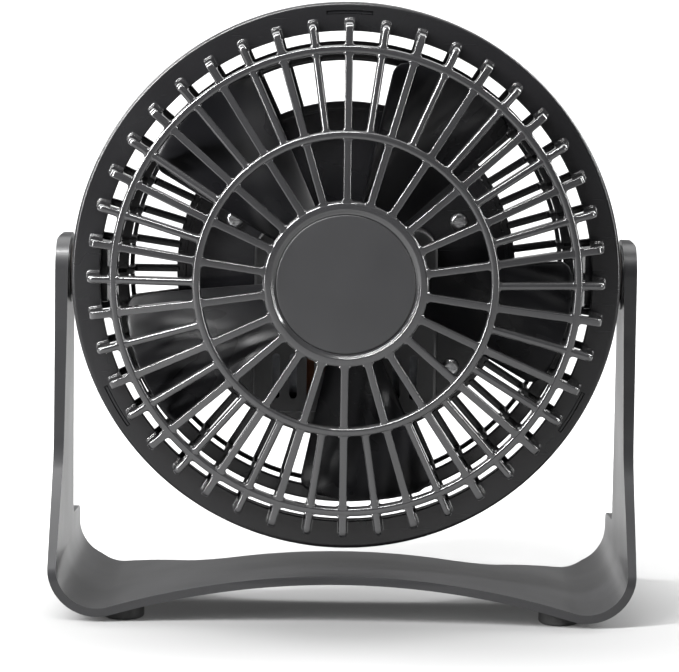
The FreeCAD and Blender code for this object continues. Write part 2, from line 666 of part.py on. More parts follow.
def coil_box(half_x, grow_y, grow_z):
    """Box about the coil core, larger than its section by the two growths."""
    return block(-half_x, half_x, STACK_FRONT - grow_y, STACK_REAR + grow_y,
                 CORE_MIDDLE - CORE_HEIGHT / 2 - grow_z, CORE_MIDDLE + CORE_HEIGHT / 2 + grow_z)


def coil_bobbin():
    half = CORE_HALF - 0.3
    reach = COIL_REACH + FLANGE_MARGIN
    depth = COIL_DEPTH + FLANGE_MARGIN
    sleeve = coil_box(half, BOBBIN_WALL, BOBBIN_WALL)
    flange = coil_box(half, reach, depth).cut(coil_box(half - BOBBIN_WALL, reach + 1, depth + 1))
    return sleeve.fuse(flange).cut(coil_box(half + 1, 0.1, 0.1))


def coil_winding():
    half = CORE_HALF - BOBBIN_WALL - FLANGE_MARGIN
    outer = coil_box(half, COIL_REACH, COIL_DEPTH)
    outer = round_edges(outer, 2.5, lambda middle: abs(middle.x) < 0.1)
    return outer.cut(coil_box(half + 1, BOBBIN_WALL + FIT, BOBBIN_WALL + FIT))


def bracket(bar_far, bar_near, foot, bearing_far, bearing_near):
    """Cast bracket: a bar over the rotor, two feet on the stack and a bearing cup."""
    y0, y1 = sorted((bar_far, bar_near))
    width = MOTOR_SCREW_X + 5.0
    bar = front_slab([(-width, -5.0, 4.0), (width, -5.0, 4.0), (width, 5.0, 4.0), (-width, 5.0, 4.0)], y0, y1)
    f0, f1 = sorted((bar_near, foot))
    feet = [drum(4.2, f0, f1, side * MOTOR_SCREW_X, 0) for side in (-1, 1)]
    b0, b1 = sorted((bearing_far, bearing_near))
    shape = bar.multiFuse(feet + [drum(BEARING_RADIUS + 1.8, b0, b1)])
    shape = shape.cut(drum(BEARING_RADIUS, b0 - 1, b1 + 1))
    for side in (-1, 1):
        shape = shape.cut(drum(SCREW_RADIUS + 0.2, y0 - 1, f1 + 1, side * MOTOR_SCREW_X, 0))
        shape = shape.cut(drum(SCREW_RADIUS + 0.2, f0 - 1, y1 + 1, side * MOTOR_SCREW_X, 0))
    return shape


def front_bracket():
    return bracket(BRACKET_FRONT, BRACKET_FRONT + BRACKET_BAR, STACK_FRONT,
                   BEARING_FRONT - BEARING_LENGTH, BEARING_FRONT)


def rear_bracket():
    return bracket(BRACKET_REAR, BRACKET_REAR - BRACKET_BAR, STACK_REAR,
                   BEARING_REAR + BEARING_LENGTH, BEARING_REAR)


def front_bearing():
    return tube(BEARING_RADIUS, SHAFT_RADIUS + BEARING_PLAY, BEARING_FRONT - BEARING_LENGTH, BEARING_FRONT)


def rear_bearing():
    return tube(BEARING_RADIUS, SHAFT_RADIUS + BEARING_PLAY, BEARING_REAR, BEARING_REAR + BEARING_LENGTH)


def thrust_washer(y0):
    return tube(3.4, SHAFT_RADIUS + BEARING_PLAY, y0 + 0.05, y0 + THRUST_WASHER - 0.05)


def motor_shaft():
    return lathe([(0, SHAFT_FRONT), (SHAFT_RADIUS, SHAFT_FRONT, 0.4),
                  (SHAFT_RADIUS, SHAFT_REAR, 0.4), (0, SHAFT_REAR)])


def rotor_core():
    return tube(ROTOR_RADIUS, SHAFT_RADIUS, STACK_FRONT, STACK_REAR)


def rotor_end_rings():
    outer = ROTOR_RADIUS - 1.2
    rings = [tube(outer, 6.5, STACK_FRONT - END_RING + 0.1, STACK_FRONT),
             tube(outer, 6.5, STACK_REAR, STACK_REAR + END_RING - 0.1)]
    return Part.makeCompound(rings)


def motor_screws():
    """Long screws from the front bracket through the stack into the rear cover's posts."""
    length = BRACKET_REAR - BRACKET_FRONT + 4.0
    head = drum(MOTOR_SCREW_HEAD_RADIUS, -MOTOR_SCREW_HEAD, 0)
    shank = drum(SCREW_RADIUS, -0.5, length)
    screw = head.fuse(shank).cut(block(-2.2, 2.2, -2, -0.9, -0.4, 0.4))
    sides = [moved(screw, side * MOTOR_SCREW_X, BRACKET_FRONT, 0) for side in (-1, 1)]
    return Part.makeCompound(sides)


def thermal_fuse():
    back = STACK_REAR + COIL_REACH + FUSE_RADIUS
    return Part.makeCylinder(FUSE_RADIUS, FUSE_LENGTH, vec(-FUSE_LENGTH / 2, back, CORE_MIDDLE), AXIS_X)


def terminal_block():
    front = FLOOR_Y - TERMINAL_DEPTH
    bottom = TERMINAL_TOP - TERMINAL_HEIGHT
    body = block(-TERMINAL_LENGTH, 0.0, front, FLOOR_Y, bottom, TERMINAL_TOP)
    for i in range(3):
        x = (i - 2.5) * TERMINAL_LENGTH / 3
        body = body.cut(drum(1.4, front - 1, FLOOR_Y - 1.5, x, (bottom + TERMINAL_TOP) / 2))
    return body


# ---- impeller ----
def blade_section(radius, pitch):
    """Thin lens on a plane across the blade, set at a pitch, between the blade's two radial edges."""
    half = radius * math.tan(math.radians(BLADE_HALF_ANGLE)) / math.cos(math.radians(pitch))
    rise = 2 * half * BLADE_CAMBER
    thick = BLADE_THICKNESS / 2
    lead = vec(radius, 0, -half)
    trail = vec(radius, 0, half)
    front = Part.Arc(lead, vec(radius, -rise - thick, 0), trail).toShape()
    back = Part.Arc(trail, vec(radius, -rise + thick, 0), lead).toShape()
    wire = Part.Wire([front, back])
    wire.rotate(vec(radius, 0, 0), AXIS_X, pitch)
    wire.translate(vec(0, BLADE_Y, 0))
    return wire


def blade():
    """One fan-shaped blade, lofted from its root inside the boss to its tip."""
    span = TIP_RADIUS - BLADE_ROOT_RADIUS
    sections = []
    for step in range(BLADE_SECTIONS):
        share = step / (BLADE_SECTIONS - 1)
        radius = BLADE_ROOT_RADIUS + span * share
        pitch = ROOT_PITCH + (TIP_PITCH - ROOT_PITCH) * share
        sections.append(blade_section(radius, pitch))
    solid = Part.makeLoft(sections, True, False)
    return solid.common(drum(TIP_RADIUS, BLADE_Y - 40, BLADE_Y + 40))


def fan_blade():
    wall = BOSS_WALL
    front = BOSS_FRONT
    rear = front + BOSS_LENGTH
    dome = lathe([
        (SHAFT_RADIUS, front), (BOSS_CORE + 1.0, front), (BOSS_RADIUS, front + 2.5, 4.0), (BOSS_RADIUS, rear),
        (BOSS_RADIUS - wall, rear), (BOSS_RADIUS - wall, front + 2.5 + wall, 3.0),
        (BOSS_CORE, front + wall, 1.0), (BOSS_CORE, rear), (SHAFT_RADIUS, rear),
    ])
    hollow = drum(BOSS_RADIUS - wall / 2, BLADE_Y - 60, BLADE_Y + 60)
    blades = [turned(blade().cut(hollow), BLADE_PHASE + i * 360.0 / BLADE_COUNT) for i in range(BLADE_COUNT)]
    return dome.multiFuse(blades)


def hub_clip():
    """Push-on star washer that holds the impeller on its shaft."""
    disc = tube(CLIP_RADIUS, SHAFT_RADIUS, BOSS_FRONT - CLIP_THICKNESS, BOSS_FRONT)
    cut = block(SHAFT_RADIUS + 0.3, CLIP_RADIUS - 1.4, BOSS_FRONT - 2, BOSS_FRONT + 1, -0.25, 0.25)
    for i in range(6):
        disc = disc.cut(turned(cut, i * 60.0))
    return disc


# ---- switch, knob and inlet ----
def switch_body():
    half = SWITCH_HALF
    front = FLOOR_Y - SWITCH_DEPTH
    body = front_slab([(-half, KNOB_HEIGHT - half, 1.5), (half, KNOB_HEIGHT - half, 1.5),
                       (half, KNOB_HEIGHT + half, 1.5), (-half, KNOB_HEIGHT + half, 1.5)], front, FLOOR_Y)
    neck = drum(SWITCH_NECK_RADIUS, FLOOR_Y - 0.5, COVER_REAR, 0, KNOB_HEIGHT)
    tab = block(-2.0, 2.0, front - 4.0, front, KNOB_HEIGHT - 5.0, KNOB_HEIGHT - 4.2)
    shape = body.multiFuse([neck, moved(tab, -half / 2, 0, 0), moved(tab, half / 2, 0, 0)])
    return shape.cut(drum(SWITCH_SHAFT_RADIUS + FIT, front + 3.0, COVER_REAR + 1, 0, KNOB_HEIGHT))


def switch_shaft():
    start = FLOOR_Y - SWITCH_DEPTH + 3.1
    end = KNOB_FRONT + 7.0
    shaft = drum(SWITCH_SHAFT_RADIUS, start, end, 0, KNOB_HEIGHT)
    flat = block(-4, 4, KNOB_FRONT, end + 1, KNOB_HEIGHT + SWITCH_SHAFT_RADIUS - 0.8, KNOB_HEIGHT + 5)
    return shaft.cut(flat)


def speed_knob():
    """Round skirt with a raised grip bar and a pointer groove."""
    skirt = lathe([
        (0, KNOB_FRONT), (KNOB_RADIUS, KNOB_FRONT), (KNOB_RADIUS, KNOB_FRONT + KNOB_SKIRT, 1.2),
        (0, KNOB_FRONT + KNOB_SKIRT),
    ])
    half = KNOB_BAR_HALF
    reach = KNOB_RADIUS - 0.6
    bar = round_slot(-half, half, -reach, reach, KNOB_FRONT + 2.0, KNOB_REAR)
    bar = round_edges(bar, 1.0, lambda middle: middle.y > KNOB_REAR - 0.1)
    groove = block(-0.5, 0.5, KNOB_REAR - 0.6, KNOB_REAR + 1, 3.0, reach + 1)
    knob = moved(skirt.fuse(bar).cut(groove), 0, 0, KNOB_HEIGHT)
    return knob.cut(switch_shaft())


def cord_gland():
    """Flanged grommet that lines the cord inlet."""
    reach = GLAND_RADIUS + 2.0
    flange = COVER_REAR + GLAND_FLANGE
    shape = drum(GLAND_RADIUS, FLOOR_Y, COVER_REAR + 0.5, GLAND_X, GLAND_Z)
    shape = shape.fuse(drum(reach, COVER_REAR, flange, GLAND_X, GLAND_Z))
    shape = shape.fuse(drum(GLAND_BORE + 1.6, flange - 0.5, flange + 2.4, GLAND_X, GLAND_Z))
    return shape.cut(drum(GLAND_BORE, FLOOR_Y - 1, flange + 3, GLAND_X, GLAND_Z))


# ---- stand ----
def arc_about(x, z, radius, start, end):
    """Arc in the front view, between two angles in degrees."""
    points = []
    for angle in (start, (start + end) / 2, end):
        turn = math.radians(angle)
        points.append(vec(x + radius * math.cos(turn), 0, z + radius * math.sin(turn)))
    return Part.Arc(*points).toShape()


def band_edges(inset):
    """Right half of the band's lower line, from the corner to the middle, set in from its outside."""
    lean = math.degrees(math.atan2(CORNER_Z - ARCH_Z, CORNER_X))
    corner = arc_about(CORNER_X, CORNER_Z, CORNER_RADIUS - inset, 0, lean - 180)
    arch = arc_about(0, ARCH_Z, ARCH_RADIUS + inset, lean, 90)
    return [corner, arch]


def band_face():
    """Front view of the whole band: arms, corners and arched base."""
    top = AXIS_HEIGHT + ARM_TOP_Z
    ease = ARM_EASE
    low_in = ARM_OUTER_LOW - BAND_THICKNESS
    outer = band_edges(0)
    inner = band_edges(BAND_THICKNESS)
    arm_out = Part.LineSegment(vec(ARM_OUTER, 0, top - ease), vec(ARM_OUTER_LOW, 0, CORNER_Z)).toShape()
    crown = Part.Arc(vec(ARM_OUTER, 0, top - ease), vec(ARM_OUTER - ease * 0.293, 0, top - ease * 0.293),
                     vec(ARM_OUTER - ease, 0, top)).toShape()
    cap = Part.LineSegment(vec(ARM_OUTER - ease, 0, top), vec(ARM_INNER, 0, top)).toShape()
    arm_in = Part.LineSegment(vec(ARM_INNER, 0, top), vec(low_in, 0, CORNER_Z)).toShape()
    middle = Part.LineSegment(vec(0, 0, BASE_RISE), vec(0, 0, BASE_RISE + BAND_THICKNESS)).toShape()
    edges = Part.sortEdges([crown, cap, arm_in, arm_out, middle] + outer + inner)[0]
    return Part.Face(Part.Wire(edges))


def stand_side_outline():
    """Side view of the arms and wings, in heights above the floor."""
    axis = AXIS_HEIGHT
    half = ARM_HALF_WIDTH
    waist = axis - 66.0
    return [
        (-half, axis + half, ARM_ROUND), (half, axis + half, ARM_ROUND), (half, axis - 21.0, 60.0),
        (half + 7.0, waist, 60.0), (half + 13.0, WING_HEIGHT + 2.0, 3.0),
        (BASE_REAR, WING_HEIGHT, 5.0), (BASE_REAR, -1.0), (BASE_FRONT, -1.0),
        (BASE_FRONT, 17.0, 12.0), (-half - 2.0, waist, 30.0), (-half, axis - 21.0, 60.0),
    ]


def stand_plan():
    """Plan view of the stand: straight in front, drawn in to a waist behind."""
    wide = ARM_OUTER_LOW + 2.0
    shoulder = ARM_OUTER_LOW - 11.0
    waist = shoulder - 44.0
    return [
        (-wide, BASE_FRONT), (wide, BASE_FRONT), (wide, BASE_REAR + 1.0), (shoulder, BASE_REAR + 1.0, 6.0),
        (waist, BASE_WAIST, 28.0), (-waist, BASE_WAIST, 28.0), (-shoulder, BASE_REAR + 1.0, 6.0),
        (-wide, BASE_REAR + 1.0),
    ]


def stand():
    depth = BASE_REAR - BASE_FRONT + 4.0
    face = band_face()
    face.translate(vec(0, BASE_FRONT - 2.0, 0))
    half = face.extrude(vec(0, depth, 0))
    band = half.fuse(mirrored(half)).removeSplitter()
    wide = ARM_OUTER_LOW + 5.0
    band = band.common(side_slab(stand_side_outline(), -wide, wide))
    band = band.common(outline(stand_plan()).extrude(vec(0, 0, AXIS_HEIGHT + 40.0)))
    pad = moved(pin(PAD_RADIUS, PAD_X, ARM_OUTER - 1.0), 0, 0, AXIS_HEIGHT)
    band = band.multiFuse([pad, mirrored(pad)])
    hole = moved(pin(TRUNNION_RADIUS + PIVOT_PLAY, PAD_X - 5, ARM_OUTER), 0, 0, AXIS_HEIGHT)
    recess = moved(pin(CAP_RADIUS + 0.1, SEAT_X, ARM_OUTER + 5), 0, 0, AXIS_HEIGHT)
    for cutter in (hole, recess):
        band = band.cut(cutter).cut(mirrored(cutter))
    return band


def under_base():
    """Space between the floor and the underside of the base, on the right."""
    corner, arch = band_edges(0)
    end = corner.Vertexes[0].Point
    sides = [
        Part.LineSegment(vec(0, 0, BASE_RISE), vec(0, 0, 0)).toShape(),
        Part.LineSegment(vec(0, 0, 0), vec(end.x, 0, 0)).toShape(),
        Part.LineSegment(vec(end.x, 0, 0), end).toShape(),
    ]
    face = Part.Face(Part.Wire(Part.sortEdges(sides + [corner, arch])[0]))
    face.translate(vec(0, BASE_FRONT, 0))
    return face.extrude(vec(0, BASE_REAR - BASE_FRONT, 0))


def foot(side, y):
    """Round rubber foot whose top follows the underside of the base."""
    post = outline([(0, 0), (FOOT_RADIUS, 0, 1.0), (FOOT_RADIUS, BASE_RISE), (0, BASE_RISE)])
    post.rotate(ORIGIN, AXIS_X, 90)
    post = post.revolve(ORIGIN, vec(0, 0, 1), 360)
    shape = moved(post, FOOT_X, y, 0).common(under_base())
    return mirrored(shape) if side < 0 else shape


# ---- tilt pivots ----
def friction_washer():
    ring = pin(PIVOT_BLOCK_DEPTH - 0.2, BLOCK_X, PAD_X)
    return ring.cut(pin(TRUNNION_RADIUS + 0.15, BLOCK_X - 1, PAD_X + 1))


def pivot_keeper():
    """Steel washer that holds the arm on the trunnion."""
    end = TRUNNION_END + KEEPER_THICKNESS
    return pin(KEEPER_RADIUS, TRUNNION_END, end).cut(pin(SCREW_RADIUS + FIT, TRUNNION_END - 1, end + 1))


def pivot_screw():
    seat = TRUNNION_END + KEEPER_THICKNESS
    head = pin(PIVOT_HEAD_RADIUS, seat, seat + PIVOT_HEAD_HEIGHT)
    shank = pin(SCREW_RADIUS, seat - PIVOT_SCREW_LENGTH, seat + 0.5)
    slot = block(seat + 0.6, seat + 2, -2.2, 2.2, -0.45, 0.45)
    cross = block(seat + 0.6, seat + 2, -0.45, 0.45, -2.2, 2.2)
    return head.fuse(shank).cut(slot).cut(cross)


def pivot_cap():
    """Snap-in cap, flush with the outside of the arm."""
    face = pin(CAP_RADIUS, ARM_OUTER - CAP_THICKNESS, ARM_OUTER)
    skirt = pin(CAP_RADIUS, SEAT_X, ARM_OUTER).cut(pin(CAP_RADIUS - CAP_WALL, SEAT_X - 1, ARM_OUTER + 1))
    return face.fuse(skirt)


def both_sides(shape):
    return Part.makeCompound([shape, mirrored(shape)])


# ---- writing ----
def write(name, shape, raised=True):
    """Check a piece, lift it to its place and write it."""
    if raised:
        shape = moved(shape, 0, 0, AXIS_HEIGHT)
    placed = moved(shape, 0, PIVOT_Y, 0)
    sound = placed.isValid() and all(solid.Volume > 0 for solid in placed.Solids)
    print(f"{name}: {len(placed.Solids)} solid(s), {placed.Volume:.0f} mm3, sound {sound}")
    placed.exportStep(f"parts/{name}.step")


def main():
    os.makedirs("parts", exist_ok=True)
    write("front_grille", front_grille())
    write("hub_badge", hub_badge())
    write("rear_housing", rear_housing())
    write("rear_cover", rear_cover())
    write("cover_screws", cover_screws())
    write("motor_cover", motor_cover())
    write("stator_laminations", stator_laminations())
    write("coil_core", coil_core())
    write("coil_bobbin", coil_bobbin())
    write("coil_winding", coil_winding())
    write("shading_rings", shading_rings())
    write("front_bracket", front_bracket())
    write("rear_bracket", rear_bracket())
    write("front_bearing", front_bearing())
    write("rear_bearing", rear_bearing())
    write("front_thrust_washer", thrust_washer(BEARING_FRONT))
    write("rear_thrust_washer", thrust_washer(BEARING_REAR - THRUST_WASHER))
    write("motor_shaft", motor_shaft())
    write("rotor_core", rotor_core())
    write("rotor_end_rings", rotor_end_rings())
    write("motor_screws", motor_screws())
    write("thermal_fuse", thermal_fuse())
    write("terminal_block", terminal_block())
    write("fan_blade", fan_blade())
    write("hub_clip", hub_clip())
    write("switch_body", switch_body())
    write("switch_shaft", switch_shaft())
    write("speed_knob", speed_knob())
    write("cord_gland", cord_gland())
    write("stand", stand(), raised=False)
    for side, side_name in ((-1, "left"), (1, "right")):
        for y, end_name in ((FOOT_FRONT, "front"), (FOOT_REAR, "rear")):
            write(f"foot_{end_name}_{side_name}", foot(side, y), raised=False)
    for side_name, side in (("right", lambda shape: shape), ("left", mirrored)):
        write(f"friction_washer_{side_name}", side(friction_washer()))
        write(f"pivot_cap_{side_name}", side(pivot_cap()))
    write("pivot_keepers", both_sides(pivot_keeper()))
    write("pivot_screws", both_sides(pivot_screw()))


main()
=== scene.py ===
import json
import logging
import math
from dataclasses import dataclass, field
from enum import Enum
from typing import Callable, Iterable, Sequence

import bmesh
import bpy
from mathutils import Matrix, Vector


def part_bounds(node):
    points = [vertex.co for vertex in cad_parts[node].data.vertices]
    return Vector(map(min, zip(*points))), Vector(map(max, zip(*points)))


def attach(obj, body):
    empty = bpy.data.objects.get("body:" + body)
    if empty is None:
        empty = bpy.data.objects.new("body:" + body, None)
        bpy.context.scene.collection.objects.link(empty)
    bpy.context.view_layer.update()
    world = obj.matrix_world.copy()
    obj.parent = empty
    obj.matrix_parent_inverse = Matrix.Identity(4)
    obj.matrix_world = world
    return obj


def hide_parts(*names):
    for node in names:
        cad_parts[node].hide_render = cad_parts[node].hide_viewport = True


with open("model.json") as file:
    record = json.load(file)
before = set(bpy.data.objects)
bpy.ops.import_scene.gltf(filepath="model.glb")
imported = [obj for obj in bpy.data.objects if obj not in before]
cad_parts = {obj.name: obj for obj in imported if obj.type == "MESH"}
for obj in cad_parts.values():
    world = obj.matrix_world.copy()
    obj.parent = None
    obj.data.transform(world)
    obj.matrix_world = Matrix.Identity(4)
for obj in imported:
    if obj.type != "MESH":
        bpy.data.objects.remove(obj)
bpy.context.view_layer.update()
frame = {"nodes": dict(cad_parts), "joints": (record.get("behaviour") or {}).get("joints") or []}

# Desk fan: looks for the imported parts. Forms are drawn in millimetres about the point where the
# tilt axis crosses the fan axis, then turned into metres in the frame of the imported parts.
# +Z is up, and the fan blows towards -Y.

LOG = logging.getLogger("desk_fan")
MM = 0.001
WELD = 0.002          # vertices closer than this are one, in millimetres
SHARP_ANGLE = 32.0    # edges sharper than this keep a crease in their shading
Corner = tuple[float, ...]


def tilt_pivot() -> Vector:
    """Point on the fan axis that the cage tilts about, in metres."""
    joint = next(joint for joint in frame["joints"] if joint["name"] == "head_tilt")
    return Vector(joint["pos_m"])


PIVOT = tilt_pivot()


def part_box(node: str) -> tuple[Vector, Vector]:
    """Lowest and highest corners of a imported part's box, in millimetres about the tilt pivot."""
    low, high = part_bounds(node)
    return (low - PIVOT) / MM, (high - PIVOT) / MM


class Body(Enum):
    """Moving bodies of the fan."""

    STAND = "stand"
    HEAD = "head"
    IMPELLER = "impeller"
    KNOB = "knob"


class Plane(Enum):
    """Plane that an outline is drawn in, and the direction that it is made thick in."""

    FRONT = "xz"
    SIDE = "yz"
    RADIAL = "xy"

    def basis(self) -> Matrix:
        """Matrix from the outline's own axes to the fan's axes.

        Returns:
            A 3 by 3 matrix.
        """
        columns = {
            Plane.FRONT: ((1, 0, 0), (0, 0, 1), (0, 1, 0)),
            Plane.SIDE: ((0, 1, 0), (0, 0, 1), (1, 0, 0)),
            Plane.RADIAL: ((1, 0, 0), (0, 1, 0), (0, 0, 1)),
        }[self]
        return Matrix(columns).transposed()


def radial(angle: float) -> Matrix:
    """Turn about the fan axis by degrees from +X, anticlockwise as seen from the front."""
    return Matrix.Rotation(-math.radians(angle), 4, "Y")


def rounded(corners: Sequence[Corner], steps: int = 4) -> list[Vector]:
    """Closed outline with arcs at its corners.

    Args:
        corners: Points (u, v) or (u, v, radius of the corner).
        steps: Segments in each arc.

    Returns:
        Points along the outline.
    """
    line = []
    for index, corner in enumerate(corners):
        point = Vector(corner[:2])
        radius = corner[2] if len(corner) > 2 else 0.0
        if radius <= 0.0:
            line.append(point)
            continue
        back = (Vector(corners[index - 1][:2]) - point).normalized()
        ahead = (Vector(corners[(index + 1) % len(corners)][:2]) - point).normalized()
        half = back.angle(ahead) / 2
        centre = point + (back + ahead).normalized() * (radius / math.sin(half))
        start = point + back * (radius / math.tan(half)) - centre
        end = point + ahead * (radius / math.tan(half)) - centre
        sweep = math.atan2(start.x * end.y - start.y * end.x, start.dot(end))
        for step in range(steps + 1):
            line.append(centre + Matrix.Rotation(sweep * step / steps, 2) @ start)
    return line


def box(left: float, right: float, first: float, last: float, round_first: float = 0.0,
        round_last: float | None = None) -> list[Corner]:
    """Four corners in order round an outline: left and right at its first v, then right and left at its last."""
    other = round_first if round_last is None else round_last
    return [(left, first, round_first), (right, first, round_first), (right, last, other), (left, last, other)]


def fillet_rise(distance: float, radius: float) -> float:
    """How far a hollow fillet stands out of the wall that it leans on.

    Args:
        distance: From the floor of the fillet.
        radius: Of the fillet.

    Returns:
        The height above the wall, which is the radius at the floor and 0 past the fillet.
    """
    if distance >= radius:
        return 0.0
    away = radius - max(distance, 0.0)
    return radius - math.sqrt(max(radius * radius - away * away, 0.0))


class Form:
    """A mesh in progress, in millimetres about the tilt pivot, shaped with bmesh operators."""

    def __init__(self) -> None:
        """Start with nothing."""
        self.bm = bmesh.new()

    def outline(self, points: Iterable[Vector], basis: Matrix, level: float) -> bmesh.types.BMFace:
        """Add a flat face: points in two dimensions, turned by the basis, at a level on its third axis."""
        return self.bm.faces.new([self.bm.verts.new(basis @ Vector((p.x, p.y, level))) for p in points])

    def slab(self, corners: Sequence[Corner], plane: Plane, low: float, high: float, steps: int = 4) -> "Form":
        """Add an outline made thick.

        Args:
            corners: Points (u, v) or (u, v, radius of the corner).
            plane: Plane that they are drawn in.
            low: Where the thickness starts, along the plane's third axis.
            high: Where it ends.
            steps: Segments in each corner.

        Returns:
            This form.
        """
        basis = plane.basis()
        face = self.outline(rounded(corners, steps), basis, low)
        made = bmesh.ops.extrude_face_region(self.bm, geom=[face])["geom"]
        verts = [item for item in made if isinstance(item, bmesh.types.BMVert)]
        bmesh.ops.translate(self.bm, verts=verts, vec=basis @ Vector((0, 0, high - low)))
        return self

    def lathe(self, corners: Sequence[Corner], steps: int = 176, arc_steps: int = 4) -> "Form":
        """Add a full turn about the fan axis.

        Args:
            corners: Points (radius, depth) or (radius, depth, radius of the corner). An outline whose
                first and last points lie on the axis is left open there.
            steps: Segments in the turn.
            arc_steps: Segments in each rounded corner.

        Returns:
            This form.
        """
        line = rounded(corners, arc_steps)
        verts = [self.bm.verts.new((point.x, point.y, 0.0)) for point in line]
        closed = line[0].x > WELD or line[-1].x > WELD
        pairs = zip(verts, verts[1:] + verts[:1]) if closed else zip(verts, verts[1:])
        edges = [self.bm.edges.new(pair) for pair in pairs]
        bmesh.ops.spin(self.bm, geom=verts + edges, cent=(0, 0, 0), axis=(0, 1, 0), dvec=(0, 0, 0),
                       angle=math.tau, steps=steps, use_merge=True, use_duplicate=False)
        return self

    def sector(self, corners: Sequence[Corner], middle: float, span: float, steps: int = 8) -> "Form":
        """Add part of a turn about the fan axis, closed at both ends.

        Args:
            corners: Points (radius, depth) or (radius, depth, radius of the corner).
            middle: Angle of its middle, in degrees.
            span: Degrees that it covers.
            steps: Segments along it.

        Returns:
            This form.
        """
        part = Form()
        face = part.outline(rounded(corners, 3), Plane.RADIAL.basis(), 0.0)
        bmesh.ops.spin(part.bm, geom=[face] + face.edges[:] + face.verts[:], cent=(0, 0, 0), axis=(0, 1, 0),
                       dvec=(0, 0, 0), angle=math.radians(span), steps=steps, use_merge=False)
        return self.stamp(part, [radial(middle + span / 2)])

    def bevel(self, width: float, segments: int, chosen: Callable[[Vector], bool] | None = None,
              least: float = 40.0) -> "Form":
        """Round sharp edges.

        Args:
            width: Of the round.
            segments: In the round.
            chosen: Test of an edge's middle, or None for every sharp edge.
            least: Angle between an edge's faces from which it counts as sharp, in degrees.

        Returns:
            This form.
        """
        self.bm.normal_update()
        limit = math.radians(least)
        edges = []
        for edge in self.bm.edges:
            if len(edge.link_faces) != 2 or edge.calc_face_angle(0.0) < limit:
                continue
            if chosen is None or chosen((edge.verts[0].co + edge.verts[1].co) / 2):
                edges.append(edge)
        bmesh.ops.bevel(self.bm, geom=edges, offset=width, offset_type="OFFSET", affect="EDGES",
                        segments=segments, profile=0.5, material=-1, clamp_overlap=True)
        return self

    def slice(self, point: Vector, normal: Vector) -> "Form":
        """Cut every face where a plane passes, and keep both sides.

        Args:
            point: On the plane.
            normal: Of the plane.

        Returns:
            This form.
        """
        geom = self.bm.verts[:] + self.bm.edges[:] + self.bm.faces[:]
        bmesh.ops.bisect_plane(self.bm, geom=geom, dist=WELD, plane_co=point, plane_no=normal)
        return self

    def shape(self, change: Callable[[Vector], Vector]) -> "Form":
        """Move every vertex.

        Args:
            change: From the old place to the new one.

        Returns:
            This form.
        """
        for vert in self.bm.verts:
            vert.co = change(vert.co.copy())
        return self

    def turn(self, matrix: Matrix) -> "Form":
        """Move, turn or scale the whole form by a matrix."""
        bmesh.ops.transform(self.bm, matrix=matrix, verts=self.bm.verts[:])
        return self

    def mesh(self, name: str) -> bpy.types.Mesh:
        """Write the form to a new mesh, welded and with its faces outwards.

        Args:
            name: Of the mesh.

        Returns:
            The mesh, in millimetres.
        """
        bmesh.ops.remove_doubles(self.bm, verts=self.bm.verts[:], dist=WELD)
        bmesh.ops.recalc_face_normals(self.bm, faces=self.bm.faces[:])
        mesh = bpy.data.meshes.new(name)
        self.bm.to_mesh(mesh)
        return mesh

    def stamp(self, other: "Form", places: Iterable[Matrix]) -> "Form":
        """Add copies of another form.

        Args:
            other: Form to copy.
            places: One matrix for each copy.

        Returns:
            This form.
        """
        mesh = other.mesh("stamp")
        for place in places:
            mesh.transform(place)
            self.bm.from_mesh(mesh)
            mesh.transform(place.inverted())
        bpy.data.meshes.remove(mesh)
        return self

    def boolean(self, other: "Form", operation: str = "DIFFERENCE") -> "Form":
        """Cut another form away from this one, or join it.

        Args:
            other: The cutter, or the piece to join.
            operation: DIFFERENCE, UNION or INTERSECT.

        Returns:
            This form.
        """
        base = bpy.data.objects.new("base", self.mesh("base"))
        tool = bpy.data.objects.new("tool", other.mesh("tool"))
        for item in (base, tool):
            bpy.context.scene.collection.objects.link(item)
        step = base.modifiers.new("cut", "BOOLEAN")
        step.operation = operation
        step.solver = "EXACT"
        step.use_self = operation == "DIFFERENCE"
        step.object = tool
        result = bpy.data.meshes.new_from_object(base.evaluated_get(bpy.context.evaluated_depsgraph_get()))
        self.bm.clear()
        self.bm.from_mesh(result)
        meshes = [base.data, tool.data, result]
        for item in (base, tool):
            bpy.data.objects.remove(item)
        for mesh in meshes:
            bpy.data.meshes.remove(mesh)
        return self

    def piece(self, name: str, body: Body, finish: "Finish", replaces: Sequence[str] = ()) -> bpy.types.Object:
        """Turn the form into a finished piece of the fan.

        Args:
            name: Of the piece.
            body: That it moves with.
            finish: That it is dressed in.
            replaces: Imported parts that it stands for.

        Returns:
            The piece, with its place in its mesh.
        """
        mesh = self.mesh(name)
        self.bm.free()
        mesh.transform(Matrix.Translation(PIVOT) @ Matrix.Scale(MM, 4))
        mesh.shade_smooth()
        mesh.set_sharp_from_angle(angle=math.radians(SHARP_ANGLE))
        mesh.materials.append(finish.material())
        made = bpy.data.objects.new(name, mesh)
        bpy.context.scene.collection.objects.link(made)
        evened = made.modifiers.new("evened", "WEIGHTED_NORMAL")
        evened.keep_sharp = True
        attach(made, body.value)
        if replaces:
            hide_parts(*replaces)
        LOG.info("%s: %d faces", name, len(mesh.polygons))
        return made


